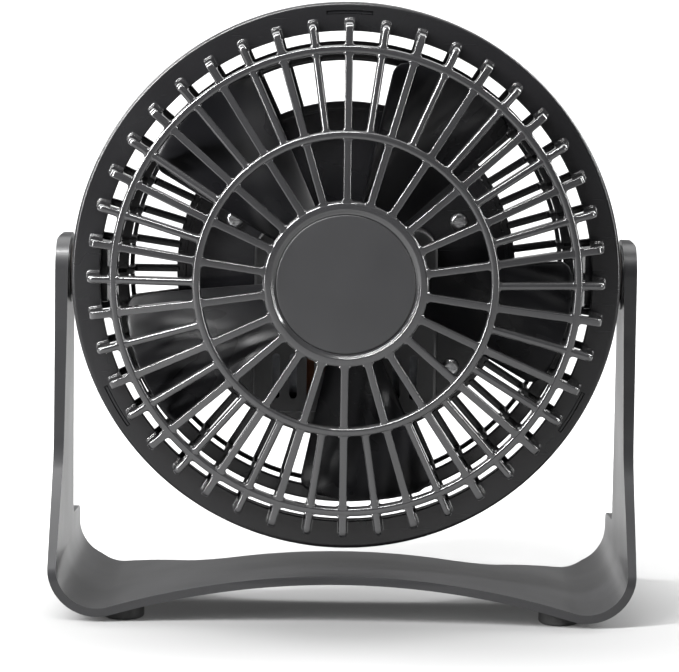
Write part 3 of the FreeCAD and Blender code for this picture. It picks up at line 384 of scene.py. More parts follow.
# ---- finishes ----
class Shader:
    """Node tree of one material."""

    def __init__(self, name: str) -> None:
        """Start a material with a plain Principled shader.

        Args:
            name: Of the material.
        """
        self.material = bpy.data.materials.new(name)
        self.material.use_nodes = True
        self.nodes = self.material.node_tree.nodes
        self.links = self.material.node_tree.links
        self.surface = self.nodes["Principled BSDF"]
        self.place = self.nodes.new("ShaderNodeTexCoord").outputs["Object"]

    def add(self, kind: str, inputs: dict[str | int, object] | None = None, **settings: object) -> bpy.types.Node:
        """Add a node.

        Args:
            kind: Type of node.
            inputs: Values or sockets for its inputs.
            settings: Values for its properties.

        Returns:
            The node.
        """
        node = self.nodes.new(kind)
        for key, value in settings.items():
            setattr(node, key, value)
        for key, value in (inputs or {}).items():
            if isinstance(value, bpy.types.NodeSocket):
                self.links.new(value, node.inputs[key])
            else:
                node.inputs[key].default_value = value
        return node

    def noise(self, scale: float, detail: float = 2.0, stretch: Sequence[float] = (1.0, 1.0, 1.0),
              roughness: float = 0.5) -> bpy.types.NodeSocket:
        """Noise in object space.

        Args:
            scale: Waves in a metre.
            detail: Octaves.
            stretch: Scale along each axis, for streaks.
            roughness: Strength of the finer octaves.

        Returns:
            The noise, from 0 to 1.
        """
        place = self.place
        if tuple(stretch) != (1.0, 1.0, 1.0):
            place = self.add("ShaderNodeMapping", {"Vector": place, "Scale": tuple(stretch)}).outputs[0]
        inputs = {"Vector": place, "Scale": scale, "Detail": detail, "Roughness": roughness}
        return self.add("ShaderNodeTexNoise", inputs).outputs["Fac"]

    def spread(self, value: bpy.types.NodeSocket, low: float, high: float, start: float = 0.3,
               end: float = 0.7) -> bpy.types.NodeSocket:
        """Map a value from the range start to end to the range low to high, and hold it there."""
        inputs = {"Value": value, "From Min": start, "From Max": end, "To Min": low, "To Max": high}
        return self.add("ShaderNodeMapRange", inputs, clamp=True).outputs["Result"]

    def blend(self, share: object, first: object, second: object) -> bpy.types.NodeSocket:
        """Mix two colours.

        Args:
            share: Of the second colour, a number or a socket.
            first: A colour or a socket.
            second: A colour or a socket.

        Returns:
            The mixed colour.
        """
        node = self.add("ShaderNodeMix", data_type="RGBA")
        for socket, value in ((node.inputs["Factor"], share), (node.inputs[6], first), (node.inputs[7], second)):
            if isinstance(value, bpy.types.NodeSocket):
                self.links.new(value, socket)
            else:
                socket.default_value = value
        return node.outputs[2]

    def maths(self, operation: str, first: object, second: object = 0.0) -> bpy.types.NodeSocket:
        """Combine two numbers or sockets with one operation and return the result's socket."""
        return self.add("ShaderNodeMath", {0: first, 1: second}, operation=operation).outputs[0]

    def bump(self, height: bpy.types.NodeSocket, strength: float, depth: float,
             under: bpy.types.NodeSocket | None = None) -> bpy.types.NodeSocket:
        """Raise the surface.

        Args:
            height: From 0 to 1.
            strength: Share of the effect.
            depth: Height of the relief, in metres.
            under: Normal that this relief is added to.

        Returns:
            The normal.
        """
        inputs = {"Height": height, "Strength": strength, "Distance": depth}
        if under is not None:
            inputs["Normal"] = under
        return self.add("ShaderNodeBump", inputs).outputs["Normal"]

    def edges(self, radius: float) -> bpy.types.NodeSocket:
        """How much the surface turns within a small distance.

        Args:
            radius: The distance, in metres.

        Returns:
            0 on flat faces, rising at edges.
        """
        round_off = self.add("ShaderNodeBevel", {"Radius": radius}, samples=4).outputs[0]
        facing = self.add("ShaderNodeNewGeometry").outputs["Normal"]
        agree = self.add("ShaderNodeVectorMath", {0: round_off, 1: facing}, operation="DOT_PRODUCT").outputs["Value"]
        return self.maths("SUBTRACT", 1.0, agree)

    def wire(self, **sockets: object) -> bpy.types.Material:
        """Set or link the surface's inputs.

        Args:
            sockets: Values or sockets by input name, with _ for a space.

        Returns:
            The material.
        """
        for name, value in sockets.items():
            socket = self.surface.inputs[name.replace("_", " ")]
            if isinstance(value, bpy.types.NodeSocket):
                self.links.new(value, socket)
            else:
                socket.default_value = value
        return self.material


def shade(colour: Sequence[float], factor: float) -> tuple[float, float, float, float]:
    """Colour made lighter or darker, with alpha."""
    return (colour[0] * factor, colour[1] * factor, colour[2] * factor, 1.0)


@dataclass(frozen=True)
class Finish:
    """What a piece is dressed in. One material is made for each finish, and shared."""

    slot: str
    colour: tuple[float, float, float]
    roughness: float
    tone: str = "plain"

    def material(self) -> bpy.types.Material:
        """The finish's material, made the first time that it is asked for."""
        name = f"{self.slot}_{self.tone}"
        return bpy.data.materials.get(name) or self.build(Shader(name))

    def build(self, shader: Shader) -> bpy.types.Material:
        """Wire a new material's nodes and return it, each kind of finish in its own way."""
        raise NotImplementedError

    def dress(self, *nodes: str) -> None:
        """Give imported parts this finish.

        Args:
            nodes: Names of the parts.
        """
        for node in nodes:
            part = frame["nodes"][node]
            part.data.materials.clear()
            part.data.materials.append(self.material())
            LOG.info("%s: dressed in %s", node, self.slot)


@dataclass(frozen=True)
class Plastic(Finish):
    """Moulded plastic: mottled colour, fine grain, smudges, hairline scratches, rubbed edges and dust."""

    grain: float = 2600.0
    relief: float = 0.00003
    smudge: float = 0.08
    scratch: float = 0.25
    rubbed: float = 0.35
    dust: float = 0.04
    waviness: float = 0.03
    coat: float = 0.0
    specular: float = 0.5

    def build(self, shader: Shader) -> bpy.types.Material:
        """Wire the material's nodes.

        Args:
            shader: New material.

        Returns:
            The finished material.
        """
        mottle = shader.spread(shader.noise(34.0, 3.0), 0.0, 1.0)
        colour = shader.blend(mottle, shade(self.colour, 0.88), shade(self.colour, 1.12))
        edge = shader.spread(shader.edges(0.0006), 0.0, self.rubbed, 0.02, 0.25)
        worn = shader.maths("MULTIPLY", edge, shader.spread(shader.noise(160.0, 4.0), 0.3, 1.0))
        colour = shader.blend(worn, colour, shade(self.colour, 2.4))
        streaks = shader.noise(70.0, 2.0, (0.5, 16.0, 22.0), 0.6)
        marks = shader.spread(streaks, 0.0, self.scratch, 0.70, 0.76)
        facing = shader.add("ShaderNodeTexCoord").outputs["Normal"]
        upward = shader.add("ShaderNodeSeparateXYZ", {0: facing}).outputs["Z"]
        settled = shader.maths("MULTIPLY", shader.spread(upward, 0.0, self.dust, 0.35, 0.95),
                               shader.spread(shader.noise(420.0, 5.0), 0.2, 1.0, 0.4, 0.62))
        colour = shader.blend(settled, colour, (0.42, 0.41, 0.39, 1.0))
        film = shader.spread(shader.noise(22.0, 4.0, (1.0, 1.6, 1.0)), -0.4 * self.smudge, self.smudge)
        rough = shader.maths("ADD", shader.maths("ADD", film, self.roughness),
                             shader.maths("MULTIPLY", shader.maths("ADD", marks, settled), 0.35))
        fine = shader.bump(shader.noise(self.grain, 3.0), 0.5, self.relief)
        soft = shader.bump(shader.noise(60.0, 1.0), self.waviness, 0.0004, fine)
        return shader.wire(Base_Color=colour, Roughness=rough, Normal=soft, IOR=1.5, Coat_Weight=self.coat,
                           Coat_Roughness=0.07, Specular_IOR_Level=self.specular)


@dataclass(frozen=True)
class Rubber(Finish):
    """Moulded rubber: dry, with a fine tooth and paler rubbed patches."""

    def build(self, shader: Shader) -> bpy.types.Material:
        """Wire the material's nodes.

        Args:
            shader: New material.

        Returns:
            The finished material.
        """
        patches = shader.spread(shader.noise(120.0, 4.0), 0.0, 1.0, 0.4, 0.7)
        colour = shader.blend(patches, shade(self.colour, 0.8), shade(self.colour, 1.7))
        rough = shader.spread(shader.noise(300.0, 3.0), self.roughness - 0.08, self.roughness + 0.08)
        tooth = shader.bump(shader.noise(1900.0, 4.0), 0.6, 0.00008)
        return shader.wire(Base_Color=colour, Roughness=rough, Normal=tooth)


@dataclass(frozen=True)
class Metal(Finish):
    """Metal with the streaks of its grinding or drawing, tarnish and small pits."""

    streaks: tuple[float, float, float] = (1.0, 1.0, 30.0)
    tarnish: float = 0.5

    def build(self, shader: Shader) -> bpy.types.Material:
        """Wire the material's nodes.

        Args:
            shader: New material.

        Returns:
            The finished material.
        """
        drawn = shader.noise(260.0, 3.0, self.streaks, 0.6)
        stain = shader.spread(shader.noise(90.0, 5.0), 0.0, self.tarnish, 0.42, 0.72)
        bright = shader.blend(shader.spread(drawn, 0.0, 1.0), shade(self.colour, 0.85), shade(self.colour, 1.08))
        colour = shader.blend(stain, bright, shade(self.colour, 0.5))
        rough = shader.maths("ADD", shader.spread(drawn, self.roughness - 0.05, self.roughness + 0.1),
                             shader.maths("MULTIPLY", stain, 0.3))
        pits = shader.bump(shader.noise(2200.0, 3.0), 0.25, 0.00004)
        cut = shader.bump(drawn, 0.3, 0.00003, pits)
        return shader.wire(Base_Color=colour, Roughness=rough, Metallic=1.0, Normal=cut)


@dataclass(frozen=True)
class Layered(Finish):
    """Metal laid in fine lines: punched sheets, or turns of wire."""

    pitch: float = 0.0005
    axis: str = "Y"
    metallic: float = 1.0

    def build(self, shader: Shader) -> bpy.types.Material:
        """Wire the material's nodes.

        Args:
            shader: New material.

        Returns:
            The finished material.
        """
        # one wave of the texture covers a twentieth of its scale's length
        lines = shader.add("ShaderNodeTexWave", {"Vector": shader.place, "Scale": 0.3142 / self.pitch,
                                                 "Distortion": 0.4, "Detail": 1.0},
                           wave_type="BANDS", bands_direction=self.axis).outputs["Fac"]
        stain = shader.spread(shader.noise(180.0, 4.0), 0.0, 0.6, 0.4, 0.7)
        colour = shader.blend(lines, shade(self.colour, 0.45), shade(self.colour, 1.1))
        colour = shader.blend(stain, colour, shade(self.colour, 0.55))
        rough = shader.spread(shader.noise(700.0, 2.0), self.roughness - 0.06, self.roughness + 0.1)
        relief = shader.bump(lines, 0.7, self.pitch * 0.5)
        return shader.wire(Base_Color=colour, Roughness=rough, Metallic=self.metallic, Normal=relief)


@dataclass(frozen=True)
class Finishes:
    """Every finish on the fan."""

    cage: Finish = Plastic("cage_plastic", (0.019, 0.019, 0.020), 0.15, coat=1.0)
    # Rim: the same cage plastic painted darker, as painted shade for its flat face, which catches less light than the
    # rounded ribs.
    rim: Finish = Plastic("cage_plastic", (0.0085, 0.0085, 0.0092), 0.22, "rim", dust=0.01, coat=0.1,
                          specular=0.35)
    badge: Finish = Plastic("badge_plastic", (0.017, 0.017, 0.018), 0.36, grain=3600.0, relief=0.00002, rubbed=0.1)
    housing: Finish = Plastic("housing_plastic", (0.007, 0.007, 0.008), 0.22)
    cover: Finish = Plastic("cover_plastic", (0.030, 0.030, 0.031), 0.42, grain=2000.0, relief=0.00005)
    blade: Finish = Plastic("blade_plastic", (0.006, 0.006, 0.007), 0.26, relief=0.00001, rubbed=0.15, dust=0.01,
                            specular=0.2)
    stand: Finish = Plastic("stand_plastic", (0.014, 0.014, 0.015), 0.34, smudge=0.05, scratch=0.05, dust=0.0,
                            coat=0.1)
    knob: Finish = Plastic("knob_plastic", (0.012, 0.012, 0.013), 0.32)
    switch: Finish = Plastic("switch_plastic", (0.68, 0.65, 0.57), 0.4, rubbed=0.0)
    bobbin: Finish = Plastic("bobbin_nylon", (0.72, 0.70, 0.62), 0.45, rubbed=0.0)
    sleeve: Finish = Rubber("fuse_sleeve", (0.72, 0.69, 0.58), 0.8)
    rubber: Finish = Rubber("foot_rubber", (0.014, 0.014, 0.014), 0.72)
    fibre: Finish = Rubber("washer_fibre", (0.05, 0.042, 0.036), 0.8)
    screw: Finish = Metal("screw_steel", (0.58, 0.58, 0.59), 0.24)
    shaft: Finish = Metal("shaft_steel", (0.60, 0.60, 0.61), 0.2, streaks=(1.0, 20.0, 1.0), tarnish=0.3)
    alloy: Finish = Metal("cast_alloy", (0.50, 0.51, 0.52), 0.42, streaks=(1.0, 1.0, 1.0))
    bronze: Finish = Metal("bearing_bronze", (0.45, 0.27, 0.12), 0.38, streaks=(1.0, 1.0, 1.0))
    copper: Finish = Metal("copper", (0.62, 0.25, 0.12), 0.3)
    stack: Finish = Layered("lamination_steel", (0.30, 0.31, 0.33), 0.42)
    # Winding: copper painted dark, as painted shade for the winding that sits in shadow behind the cover slots.
    winding: Finish = Layered("winding_copper", (0.13, 0.045, 0.018), 0.34, pitch=0.0004, axis="X", metallic=0.4)


FINISHES = Finishes()


# ---- sub-assemblies ----
@dataclass
class FrontCage:
    """Front grille with its rim, ribs, two rings and hub, and the badge in the hub."""

    rim_width: float = 10.5
    rim_plate: float = 2.2
    skirt: float = 8.0
    rib_count: int = 44
    rib_width: float = 2.8
    rib_depth: float = 4.5
    rib_round: float = 1.15
    fin_width: float = 4.2
    fin_reach: float = 4.5
    junction_fillet: float = 1.2
    root_fillet: float = 0.6
    outer_ring_inset: float = 6.2
    outer_ring_rise: float = 16.5
    inner_ring: float = 53.6
    ring_width: float = 3.1
    ring_proud: float = 0.2
    hub_radius: float = 30.0
    hub_cup: float = 7.0
    hub_wall: float = 2.4
    badge_gap: float = 0.2
    badge_seat: float = 1.4
    badge_dome: float = 600.0
    slot_angles: tuple[float, ...] = (90.0, 210.0, 330.0)
    slot_span: float = 10.0
    slot_width: float = 1.4
    slot_inset: float = 3.0
    low: Vector = field(default_factory=lambda: part_box("front_grille")[0])
    high: Vector = field(default_factory=lambda: part_box("front_grille")[1])

    def __post_init__(self) -> None:
        """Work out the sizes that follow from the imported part."""
        self.rim_radius = self.high.x
        self.rim_face = self.high.y - self.skirt
        self.rim_inner = self.rim_radius - self.rim_width
        self.fin_radius = self.rim_inner + self.fin_reach
        self.outer_ring = self.rim_inner - self.outer_ring_inset
        self.ring_face = self.rim_face - self.outer_ring_rise
        self.hub_face = self.low.y + self.ring_proud
        self.badge_radius = part_box("hub_badge")[1].x

    def rim(self) -> Form:
        """Rim with its skirt and the three slots for the snap tongues.

        Returns:
            The rim.
        """
        face, plate = self.rim_face, self.rim_plate
        outer, inner = self.rim_radius, self.rim_inner
        form = Form().lathe([
            (inner, face, 0.5), (outer, face, 1.5), (outer, face + self.skirt, 0.4),
            (outer - plate, face + self.skirt, 0.4), (outer - plate, face + plate, 0.6), (inner, face + plate, 0.5),
        ], steps=264)
        reach = outer - self.slot_inset
        slots = Form()
        for angle in self.slot_angles:
            slots.sector(box(reach - self.slot_width, reach, face - 1.0, face + plate + 0.5), angle, self.slot_span)
        return form.boolean(slots)

    def ring(self, radius: float, front: float) -> Form:
        """One ring of the cage.

        Args:
            radius: Of its middle.
            front: Depth of its front face.

        Returns:
            The ring.
        """
        half = self.ring_width / 2
        back = front + self.rib_depth - self.ring_proud
        return Form().lathe(box(radius - half, radius + half, front, back, 1.1, 0.5), steps=264, arc_steps=5)

    def rib(self, start: float) -> Form:
        """One rib along +X, out over the rings and back to the rim, with fillets where it joins them.

        Args:
            start: Radius that it starts at.

        Returns:
            The rib.
        """
        depth = self.rib_depth
        root = self.rim_face + self.rim_plate / 2
        fin_inner = self.fin_radius - self.fin_width
        corners = [(start, self.hub_face), (self.outer_ring, self.ring_face, 20.0),
                   (self.fin_radius - 1.2, self.ring_face, 2.6), (self.fin_radius, root), (fin_inner, root),
                   (fin_inner - 1.2, self.ring_face + depth, 2.0),
                   (self.outer_ring - 4.0, self.ring_face + depth, 20.0), (start, self.hub_face + depth)]
        if start < self.inner_ring:
            corners.insert(1, (self.inner_ring, self.hub_face, 20.0))
            corners.insert(-1, (self.inner_ring, self.hub_face + depth, 20.0))
        half = self.rib_width / 2
        form = Form().slab(corners, Plane.RADIAL, -half, half)

        def on_front(middle: Vector) -> bool:
            """True for an edge of the rib's front or outer side."""
            ahead = middle.y < self.ring_face + 1.5 or middle.x > self.fin_radius - self.fin_width / 2
            return ahead and abs(middle.z) > half - WELD and middle.x > start + 0.1

        form.bevel(self.rib_round, 5, on_front)
        fillet = self.junction_fillet
        walls = [(self.outer_ring, -1), (self.outer_ring, 1), (self.inner_ring, 1)]
        edges = [radius + side * self.ring_width / 2 for radius, side in walls]
        sides = [side for _, side in walls]
        if start < self.inner_ring:
            edges += [self.inner_ring - self.ring_width / 2, self.hub_radius]
            sides += [-1, 1]
        for edge, side in zip(edges, sides):
            for share in (0.0, 0.12, 0.35, 0.65, 1.0):
                form.slice(Vector((edge + side * fillet * share, 0, 0)), Vector((1, 0, 0)))
        for share in (0.0, 0.12, 0.35, 0.65, 1.0):
            level = self.rim_face - self.root_fillet * share
            form.slice(Vector((0, level, 0)), Vector((0, 1, 0)))

        def flared(place: Vector) -> Vector:
            """Widen the rib where it meets a ring, the hub or the rim.

            Args:
                place: Of a vertex.

            Returns:
                Its new place.
            """
            rise = max(fillet_rise((place.x - edge) * side, fillet) if (place.x - edge) * side > -WELD else 0.0
                       for edge, side in zip(edges, sides))
            base = 0.0
            if place.x > fin_inner - 1.0:
                base = fillet_rise(self.rim_face - place.y, self.root_fillet)
            lateral = place.z / half
            place.z += lateral * max(rise * 0.8, base)
            if place.x > self.fin_radius - self.fin_width / 2:
                place.x += base
            return place

        return form.shape(flared)

    def hub(self) -> Form:
        """Hub ring with its bead, and the cup that the badge sits in.

        Returns:
            The hub.
        """
        proud = self.hub_face - self.ring_proud
        seat = proud + self.badge_seat + 0.2
        radius, inner = self.hub_radius, self.hub_radius - self.hub_wall
        pocket = self.badge_radius + self.badge_gap
        return Form().lathe([
            (0.0, seat), (pocket, seat), (pocket, proud + 0.9, 0.2), (pocket + 0.8, proud + 0.7, 0.3),
            (pocket + 1.7, proud, 0.7), (radius, proud, 1.5), (radius, proud + self.hub_cup, 0.4),
            (inner, proud + self.hub_cup, 0.4), (inner, seat + 2.0, 1.5), (0.0, seat + 2.0),
        ], steps=176, arc_steps=5)

    def grille(self) -> bpy.types.Object:
        """Ribs, rings and hub of the front grille.

        Returns:
            The piece.
        """
        form = Form()
        whole = [Matrix.Identity(4)]
        for part in (self.ring(self.outer_ring, self.ring_face - self.ring_proud),
                     self.ring(self.inner_ring, self.hub_face - self.ring_proud), self.hub()):
            form.stamp(part, whole)
        pitch = 360.0 / self.rib_count
        form.stamp(self.rib(self.hub_radius - 1.5), [radial(90.0 + i * pitch) for i in range(0, self.rib_count, 2)])
        form.stamp(self.rib(self.inner_ring), [radial(90.0 + i * pitch) for i in range(1, self.rib_count, 2)])
        return form.piece("front_grille_moulding", Body.HEAD, FINISHES.cage, ["front_grille"])

    def badge(self) -> bpy.types.Object:
        """Plain, slightly domed disc in the hub.

        Returns:
            The piece.
        """
        low, high = part_box("hub_badge")
        radius = self.badge_radius
        dome = [(share * radius, low.y + (share * radius) ** 2 / (2 * self.badge_dome))
                for share in (0.0, 0.2, 0.4, 0.6, 0.8, 0.95)]
        edge = low.y + radius ** 2 / (2 * self.badge_dome)
        form = Form().lathe(dome + [(radius, edge, 0.4), (radius, high.y), (0.0, high.y)], steps=128, arc_steps=5)
        return form.piece("hub_badge_disc", Body.HEAD, FINISHES.badge, ["hub_badge"])

    def build(self) -> list[bpy.types.Object]:
        """Rim, grille and badge, as finished pieces."""
        rim = self.rim().piece("front_rim", Body.HEAD, FINISHES.rim, ["front_grille"])
        return [rim, self.grille(), self.badge()]


@dataclass
class RearCage:
    """Rear housing: outer wall, bars, band, plate, carry grip, pivot blocks and snap tongues."""

    front: FrontCage
    wall: float = 2.4
    bar_width: float = 2.8
    plate: float = 2.5
    step_back: float = 17.4
    band_inset: float = 9.1
    band_width: float = 5.3
    corner_outset: float = 0.5
    plate_radius: float = 63.6
    window_half: float = 14.5
    grip: float = 5.7
    block_half: float = 11.0
    block_depth: float = 9.5
    block_sink: float = 2.0
    trunnion: float = 6.0
    lip_radius: float = 61.2
    lip_width: float = 1.2
    tongue: float = 1.2
    low: Vector = field(default_factory=lambda: part_box("rear_housing")[0])
    high: Vector = field(default_factory=lambda: part_box("rear_housing")[1])

    def __post_init__(self) -> None:
        """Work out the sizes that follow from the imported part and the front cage."""
        front = self.front
        self.outer = front.rim_radius - front.rim_plate - 0.4
        self.inner = self.outer - self.wall
        self.step = front.rim_face + self.step_back
        self.rear = self.high.y
        self.plate_front = self.rear - self.plate
        self.band = front.rim_inner - self.band_inset
        self.corner = self.band + self.corner_outset

    def shell(self) -> Form:
        """Outer wall and band.

        Returns:
            Both, in one form.
        """
        front = self.front.rim_face + self.front.rim_plate
        bend, back = front + self.front.skirt, self.step + self.plate
        form = Form().lathe([
            (self.inner, front), (self.outer, front), (self.outer, bend, 4.0), (self.outer - 2.9, back, 1.5),
            (self.inner - 2.9, back, 0.5), (self.inner, bend, 4.0),
        ])
        edge = self.band + self.band_width
        return form.lathe(box(self.band, edge, self.step, back, 0.6))

    def bar(self, in_window: bool) -> Form:
        """One bar along +X, across the rear plane and back round the corner.

        Args:
            in_window: True for a bar that stops at the carry window.

        Returns:
            The bar.
        """
        inner, outer = self.corner - self.plate, self.inner - 1.4
        back = self.step + self.plate
        corners = [(inner, self.step), (outer, self.step), (outer, back), (self.corner, back, 1.0),
                   (self.corner, self.rear, 0.0 if in_window else 1.5)]
        if in_window:
            corners.append((inner, self.rear))
        else:
            root = self.plate_radius - 1.0
            corners += [(root, self.rear), (root, self.plate_front), (inner, self.plate_front, 1.0)]
        half = self.bar_width / 2
        form = Form().slab(corners, Plane.RADIAL, -half, half)
        return form.bevel(0.6, 2, lambda middle: abs(middle.z) > half - WELD and middle.x > self.plate_radius)

    def plate_form(self) -> Form:
        """Rear plate with its raised line, motor opening and screw holes.

        Returns:
            The plate.
        """
        cover = part_box("motor_cover")
        front, rear = self.plate_front, self.rear
        form = Form().lathe([(0.0, front), (self.plate_radius, front, 0.6), (self.plate_radius, rear, 0.6),
                             (0.0, rear)])
        ledge = 2.6
        half, top, bottom = cover[1].x - ledge, cover[1].z - 1.9, cover[0].z + ledge
        cutter = Form().slab(box(-half, half, top, bottom, 4.0, 2.0), Plane.FRONT, front - 1.0, rear + 1.0)
        return form.boolean(cutter)

    def lip(self) -> Form:
        """Raised line round the plate, open where the motor cover sits.

        Returns:
            The line.
        """
        front, outer = self.plate_front, self.lip_radius
        inner = outer - self.lip_width
        corners = [(inner, front + 0.2), (inner, front - 0.8, 0.3), (outer, front - 0.8, 0.3), (outer, front + 0.2)]
        return Form().sector(corners, 90.0, 290.0, steps=120)

    def block(self) -> Form:
        """Pivot block on the +X side with the trunnion that turns in the arm.

        Returns:
            The block.
        """
        inner = self.front.rim_inner - self.block_sink
        seat = part_box("friction_washer_right")[0].x
        half, depth = self.block_half, self.block_depth
        form = Form().slab(box(-depth, depth, -half, half, 2.0), Plane.SIDE, inner, seat)
        form.bevel(0.6, 2, lambda middle: middle.x > seat - WELD)
        peg = Form().lathe([(0.0, seat - 1.0), (self.trunnion, seat - 1.0), (self.trunnion, self.high.x, 0.5),
                            (0.0, self.high.x)], steps=48)
        return form.stamp(peg, [Matrix.Rotation(-math.pi / 2, 4, "Z")])

    def build(self) -> bpy.types.Object:
        """The whole rear housing as one moulding.

        Returns:
            The piece.
        """
        form = Form()
        whole = [Matrix.Identity(4)]
        for part in (self.shell(), self.plate_form(), self.lip()):
            form.stamp(part, whole)
        pitch = 360.0 / self.front.rib_count
        angles = [i * pitch for i in range(self.front.rib_count)]
        in_window = [angle for angle in angles if min(angle, 360.0 - angle) < self.window_half]
        form.stamp(self.bar(True), [radial(90.0 + angle) for angle in in_window])
        form.stamp(self.bar(False), [radial(90.0 + angle) for angle in angles if angle not in in_window])
        form.lathe(box(self.corner - 1.8, self.corner - 0.2, self.plate_front + 0.4, self.rear - 0.4))
        inner = self.corner - self.plate
        form.sector(box(inner, inner + self.grip, self.step + self.plate, self.rear, 1.0, 2.2),
                    90.0, 2 * self.window_half + 6.0, steps=24)
        form.stamp(self.block(), [Matrix.Identity(4), Matrix.Rotation(math.pi, 4, "Y")])
        front = self.front
        reach = front.rim_radius - front.slot_inset - 0.1
        for angle in front.slot_angles:
            tongue = box(reach - self.tongue, reach, self.low.y, front.rim_face + front.rim_plate + 2.0, 0.3, 0.0)
            form.sector(tongue, angle, front.slot_span - 0.3)
        return form.piece("rear_housing_moulding", Body.HEAD, FINISHES.housing, ["rear_housing"])


@dataclass
class MotorCover:
    """Grey cover over the front of the motor, and the screws that hold the rear cover."""

    upper_round: float = 9.0
    lower_round: float = 3.0
    edge_round: float = 1.2
    wall: float = 1.6
    shaft_hole: float = 5.5
    slot_count: int = 9
    slot_pitch: float = 6.4
    slot_half: float = 1.4
    slot_length: float = 17.0
    slot_rise: float = 5.0
    head_radius: float = 3.25
    head_height: float = 2.2
    cross_reach: float = 2.0
    cross_half: float = 0.45
    shank_radius: float = 1.5
    low: Vector = field(default_factory=lambda: part_box("motor_cover")[0])
    high: Vector = field(default_factory=lambda: part_box("motor_cover")[1])

    def corners(self, inset: float) -> list[Corner]:
        """Outline of the cover in the front view, set in on every side."""
        half, top, bottom = self.high.x - inset, self.high.z - inset, self.low.z + inset
        return box(-half, half, top, bottom, self.upper_round - inset, self.lower_round - inset)

    def cover(self) -> bpy.types.Object:
        """Cover shell with its shaft hole and row of slots.

        Returns:
            The piece.
        """
        front, back = self.low.y, self.high.y
        form = Form().slab(self.corners(0.0), Plane.FRONT, front, back, steps=8)
        form.bevel(self.edge_round, 4, lambda middle: middle.y < front + WELD)
        form.boolean(Form().slab(self.corners(self.wall), Plane.FRONT, front + self.wall, back + 1.0, steps=8))
        through = (front - 1.0, front + self.wall + 1.0)
        holes = Form().lathe([(0.0, through[0]), (self.shaft_hole, through[0]), (self.shaft_hole, through[1]),
                              (0.0, through[1])], steps=48)
        low = self.low.z + self.slot_rise
        for index in range(self.slot_count):
            x = (index - (self.slot_count - 1) / 2) * self.slot_pitch
            half, end = self.slot_half, self.slot_half * 0.92
            holes.slab(box(x - half, x + half, low, low + self.slot_length, end), Plane.FRONT, *through)
        form.boolean(holes)
        return form.piece("motor_cover_shell", Body.HEAD, FINISHES.cover, ["motor_cover"])

    def screws(self) -> bpy.types.Object:
        """Pan-head screws with crossed recesses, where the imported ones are.

        Returns:
            The piece.
        """
        low, high = part_box("cover_screws")
        radius, rise = self.head_radius, self.head_height
        head = Form().lathe([(0.0, -rise), (radius, -rise, 1.5), (radius, 0.0, 0.2), (0.0, 0.0)], steps=48, arc_steps=6)
        reach, half = self.cross_reach, self.cross_half
        cross = Form().slab(box(-reach, reach, -half, half), Plane.FRONT, -rise - 1.0, -rise + 1.1)
        other = Form().stamp(cross, [radial(90.0)])
        head.boolean(cross).boolean(other)
        thick, end = self.shank_radius, high.y - low.y - rise
        shank = Form().lathe([(0.0, -0.2), (thick, -0.2), (thick, end, 0.6), (0.0, end)], steps=24)
        head.stamp(shank, [Matrix.Identity(4)])
        form = Form()
        level = low.y + rise
        upper = Vector((high.x - radius, level, high.z - radius))
        lower = Vector((high.x - radius - 2.0, level, low.z + radius))
        for number, (x, y, z) in enumerate((upper, lower)):
            for side in (-1, 1):
                turn = radial(17.0 + 41.0 * number + 23.0 * side)
                form.stamp(head, [Matrix.Translation((side * x, y, z)) @ turn])
        return form.piece("cover_screw_set", Body.HEAD, FINISHES.screw, ["cover_screws"])

    def build(self) -> list[bpy.types.Object]:
        """Cover and screws, as finished pieces."""
        return [self.cover(), self.screws()]


